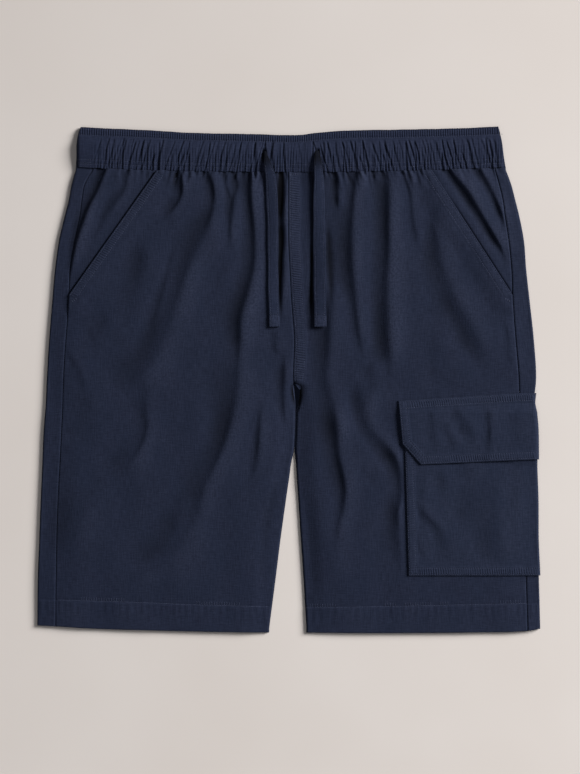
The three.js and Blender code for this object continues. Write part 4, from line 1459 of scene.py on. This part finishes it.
def blend(tree, share, first, second):
    made = node(tree, "Mix", data_type="RGBA")
    for name, value in (("Factor", share), ("A", first), ("B", second)):
        socket = [s for s in made.inputs if s.name == name and s.enabled][-1]
        feed(tree, socket, value)
    return [s for s in made.outputs if s.enabled][0]


def surface(tree, inputs):
    """The material's shader, with its constants set on its own sockets."""
    shader = node(tree, "BsdfPrincipled", inputs)
    output = node(tree, "OutputMaterial")
    tree.links.new(shader.outputs["BSDF"], output.inputs["Surface"])


def woven(name, dark, light, cool, bump=0.5):
    """Plain woven cotton with uneven threads both ways."""
    material, tree = blank_material(name)
    place = node(tree, "UVMap", uv_map="cloth").outputs["UV"]
    weft = noise(tree, place, (0.12, 0.8, 1))
    warp = noise(tree, place, (0.8, 0.09, 1))
    threads = maths(tree, "ADD", spread_out(tree, weft, 0.3, 0.7), spread_out(tree, warp, 0.3, 0.7))
    grain = noise(tree, place, (1.7, 1.7, 1), 3.0, 0.7)
    weave = maths(tree, "ADD", maths(tree, "MULTIPLY", threads, 0.38), maths(tree, "MULTIPLY", grain, 0.14))
    patches = noise(tree, place, (0.045, 0.03, 1), 2.0)
    slub = spread_out(tree, noise(tree, place, (0.25, 0.8, 1), 1.0), 0.68, 0.78)
    shade = blend(tree, spread_out(tree, weave, 0.15, 0.85), dark, light)
    toned = blend(tree, spread_out(tree, patches, 0.35, 0.65, 0.0, 0.6), shade, cool)
    mixed = blend(tree, 0.45, shade, toned)
    flecked = blend(tree, maths(tree, "MULTIPLY", slub, 0.1), mixed, linear(78, 84, 104))
    # Painted shade: where the relief attribute is low (hollows, creases, grooves, buttonhole slots, the
    # crotch pit) the colour is blended towards near-black; where it is high the colour is paler with wear.
    stands = node(tree, "Attribute", attribute_name="relief").outputs["Fac"]
    sunk = spread_out(tree, stands, -3.2, -0.25, 0.97, 0.0)
    mottle = spread_out(tree, noise(tree, place, (0.45, 0.45, 1), 1.0), 0.35, 0.65, 0.4, 1.7)
    rubbed = maths(tree, "MULTIPLY", spread_out(tree, stands, 0.35, 1.6, 0.0, 0.16), mottle)
    hollows_painted_dark = blend(tree, sunk, flecked, linear(1, 2, 6))
    colour = blend(tree, rubbed, hollows_painted_dark, linear(62, 68, 90))
    fine = maths(tree, "ADD", weave, maths(tree, "MULTIPLY", slub, 0.2))
    raised = node(tree, "Bump", {"Height": fine, "Strength": bump, "Distance": 0.0004})
    rough = spread_out(tree, weave, 0.0, 1.0, 0.95, 0.78)
    look = {"Base Color": colour, "Roughness": rough, "Normal": raised.outputs["Normal"]}
    surface(tree, look | {"Sheen Weight": 0.02, "Sheen Roughness": 0.5, "Specular IOR Level": 0.08})
    return material


def thread_material():
    material, tree = blank_material("sewing_thread")
    place = node(tree, "TexCoord").outputs["Object"]
    ply = noise(tree, place, (900, 900, 900), 1.0)
    colour = blend(tree, spread_out(tree, ply, 0.35, 0.65), linear(46, 52, 71), linear(70, 76, 99))
    raised = node(tree, "Bump", {"Height": ply, "Strength": 0.4, "Distance": 0.0001})
    look = {"Base Color": colour, "Roughness": 0.6, "Normal": raised.outputs["Normal"]}
    surface(tree, look | {"Sheen Weight": 0.02, "Specular IOR Level": 0.1})
    return material


def floor_material():
    material, tree = blank_material("pale_floor")
    place = node(tree, "TexCoord").outputs["Object"]
    cloud = noise(tree, place, (3.5, 3.5, 3.5), 3.0)
    plain = blend(tree, spread_out(tree, cloud, 0.3, 0.7), linear(205, 198, 193), linear(211, 205, 201))
    # Painted shade: the floor is coloured darker towards +Y, standing in for the light falling off across it.
    height = node(tree, "SeparateXYZ", {"Vector": place}).outputs["Y"]
    drift = spread_out(tree, height, -0.4, 0.4, 0.0, 0.35)
    colour = blend(tree, drift, plain, linear(186, 180, 176))
    surface(tree, {"Base Color": colour, "Roughness": 0.9, "Specular IOR Level": 0.1})
    return material


def make_camera():
    data = bpy.data.cameras.new("camera")
    data.sensor_fit = "VERTICAL"
    data.sensor_height = SENSOR
    data.lens = SENSOR * CAMERA_AWAY / FRAME_HEIGHT
    data.clip_end = 50
    camera = bpy.data.objects.new("camera", data)
    camera.location = (FRAME_MIDDLE[0] * MM, FRAME_MIDDLE[1] * MM, CAMERA_AWAY * MM)
    bpy.context.scene.collection.objects.link(camera)
    bpy.context.scene.camera = camera


def make_floor():
    size = 4.0
    mesh = bpy.data.meshes.new("floor")
    corners = [(-size, -size, 0), (size, -size, 0), (size, size, 0), (-size, size, 0)]
    mesh.from_pydata(corners, [], [(0, 1, 2, 3)])
    mesh.materials.append(floor_material())
    floor = bpy.data.objects.new("floor", mesh)
    bpy.context.scene.collection.objects.link(floor)
    floor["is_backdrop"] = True


def aim(item, place):
    """Turns a light at a place towards the garment."""
    item.location = place
    item.rotation_euler = (-Vector(place)).to_track_quat("-Z", "Y").to_euler()


def area_light(name, place, size, power, colour=(1, 1, 1)):
    data = bpy.data.lights.new(name, "AREA")
    data.shape = "SQUARE"
    data.size = size
    data.energy = power
    data.color = colour
    light = bpy.data.objects.new(name, data)
    bpy.context.scene.collection.objects.link(light)
    aim(light, place)


def make_light():
    area_light("key", (4.9, 2.3, 2.75), 2.7, 780, (1.0, 0.985, 0.97))
    area_light("hem_side", (-0.6, -2.4, 2.8), 2.4, 22)
    world = bpy.data.worlds.new("studio")
    bpy.context.scene.world = world
    world.use_nodes = True
    backdrop = world.node_tree.nodes["Background"]
    backdrop.inputs["Color"].default_value = (0.94, 0.95, 1.0, 1)
    backdrop.inputs["Strength"].default_value = 0.1
    bpy.context.scene.view_settings.view_transform = "Standard"


def dress():
    make_camera()
    tape = woven("tape_cloth", linear(22, 28, 44), linear(35, 41, 61), linear(23, 32, 50))
    thread = thread_material()
    for side in ("left", "right"):
        drawcord(side, tape, thread)
    shell_cloth = woven("shell_cloth", linear(24, 29, 45), linear(35, 41, 60), linear(24, 32, 50))
    for side in ("left", "right"):
        back_panel(side, shell_cloth)
        front_panel(side, shell_cloth)
        pocket_facing(side, shell_cloth)
    band_cloth = woven("band_cloth", linear(23, 28, 45), linear(37, 43, 63), linear(24, 32, 51))
    waistband_front(band_cloth)
    waistband_back(band_cloth)
    pocket_cloth = woven("pocket_cloth", linear(25, 31, 47), linear(37, 43, 62), linear(26, 34, 53))
    cargo_bag(pocket_cloth)
    cargo_flap(pocket_cloth)
    sewing(thread)
    make_floor()
    make_light()


def corners(box):
    """A box's lowest and highest corners as plain lists."""
    return [[float(value) for value in corner] for corner in box]


dress()
{"cad": corners(cad_box), "visual": corners(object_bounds())}
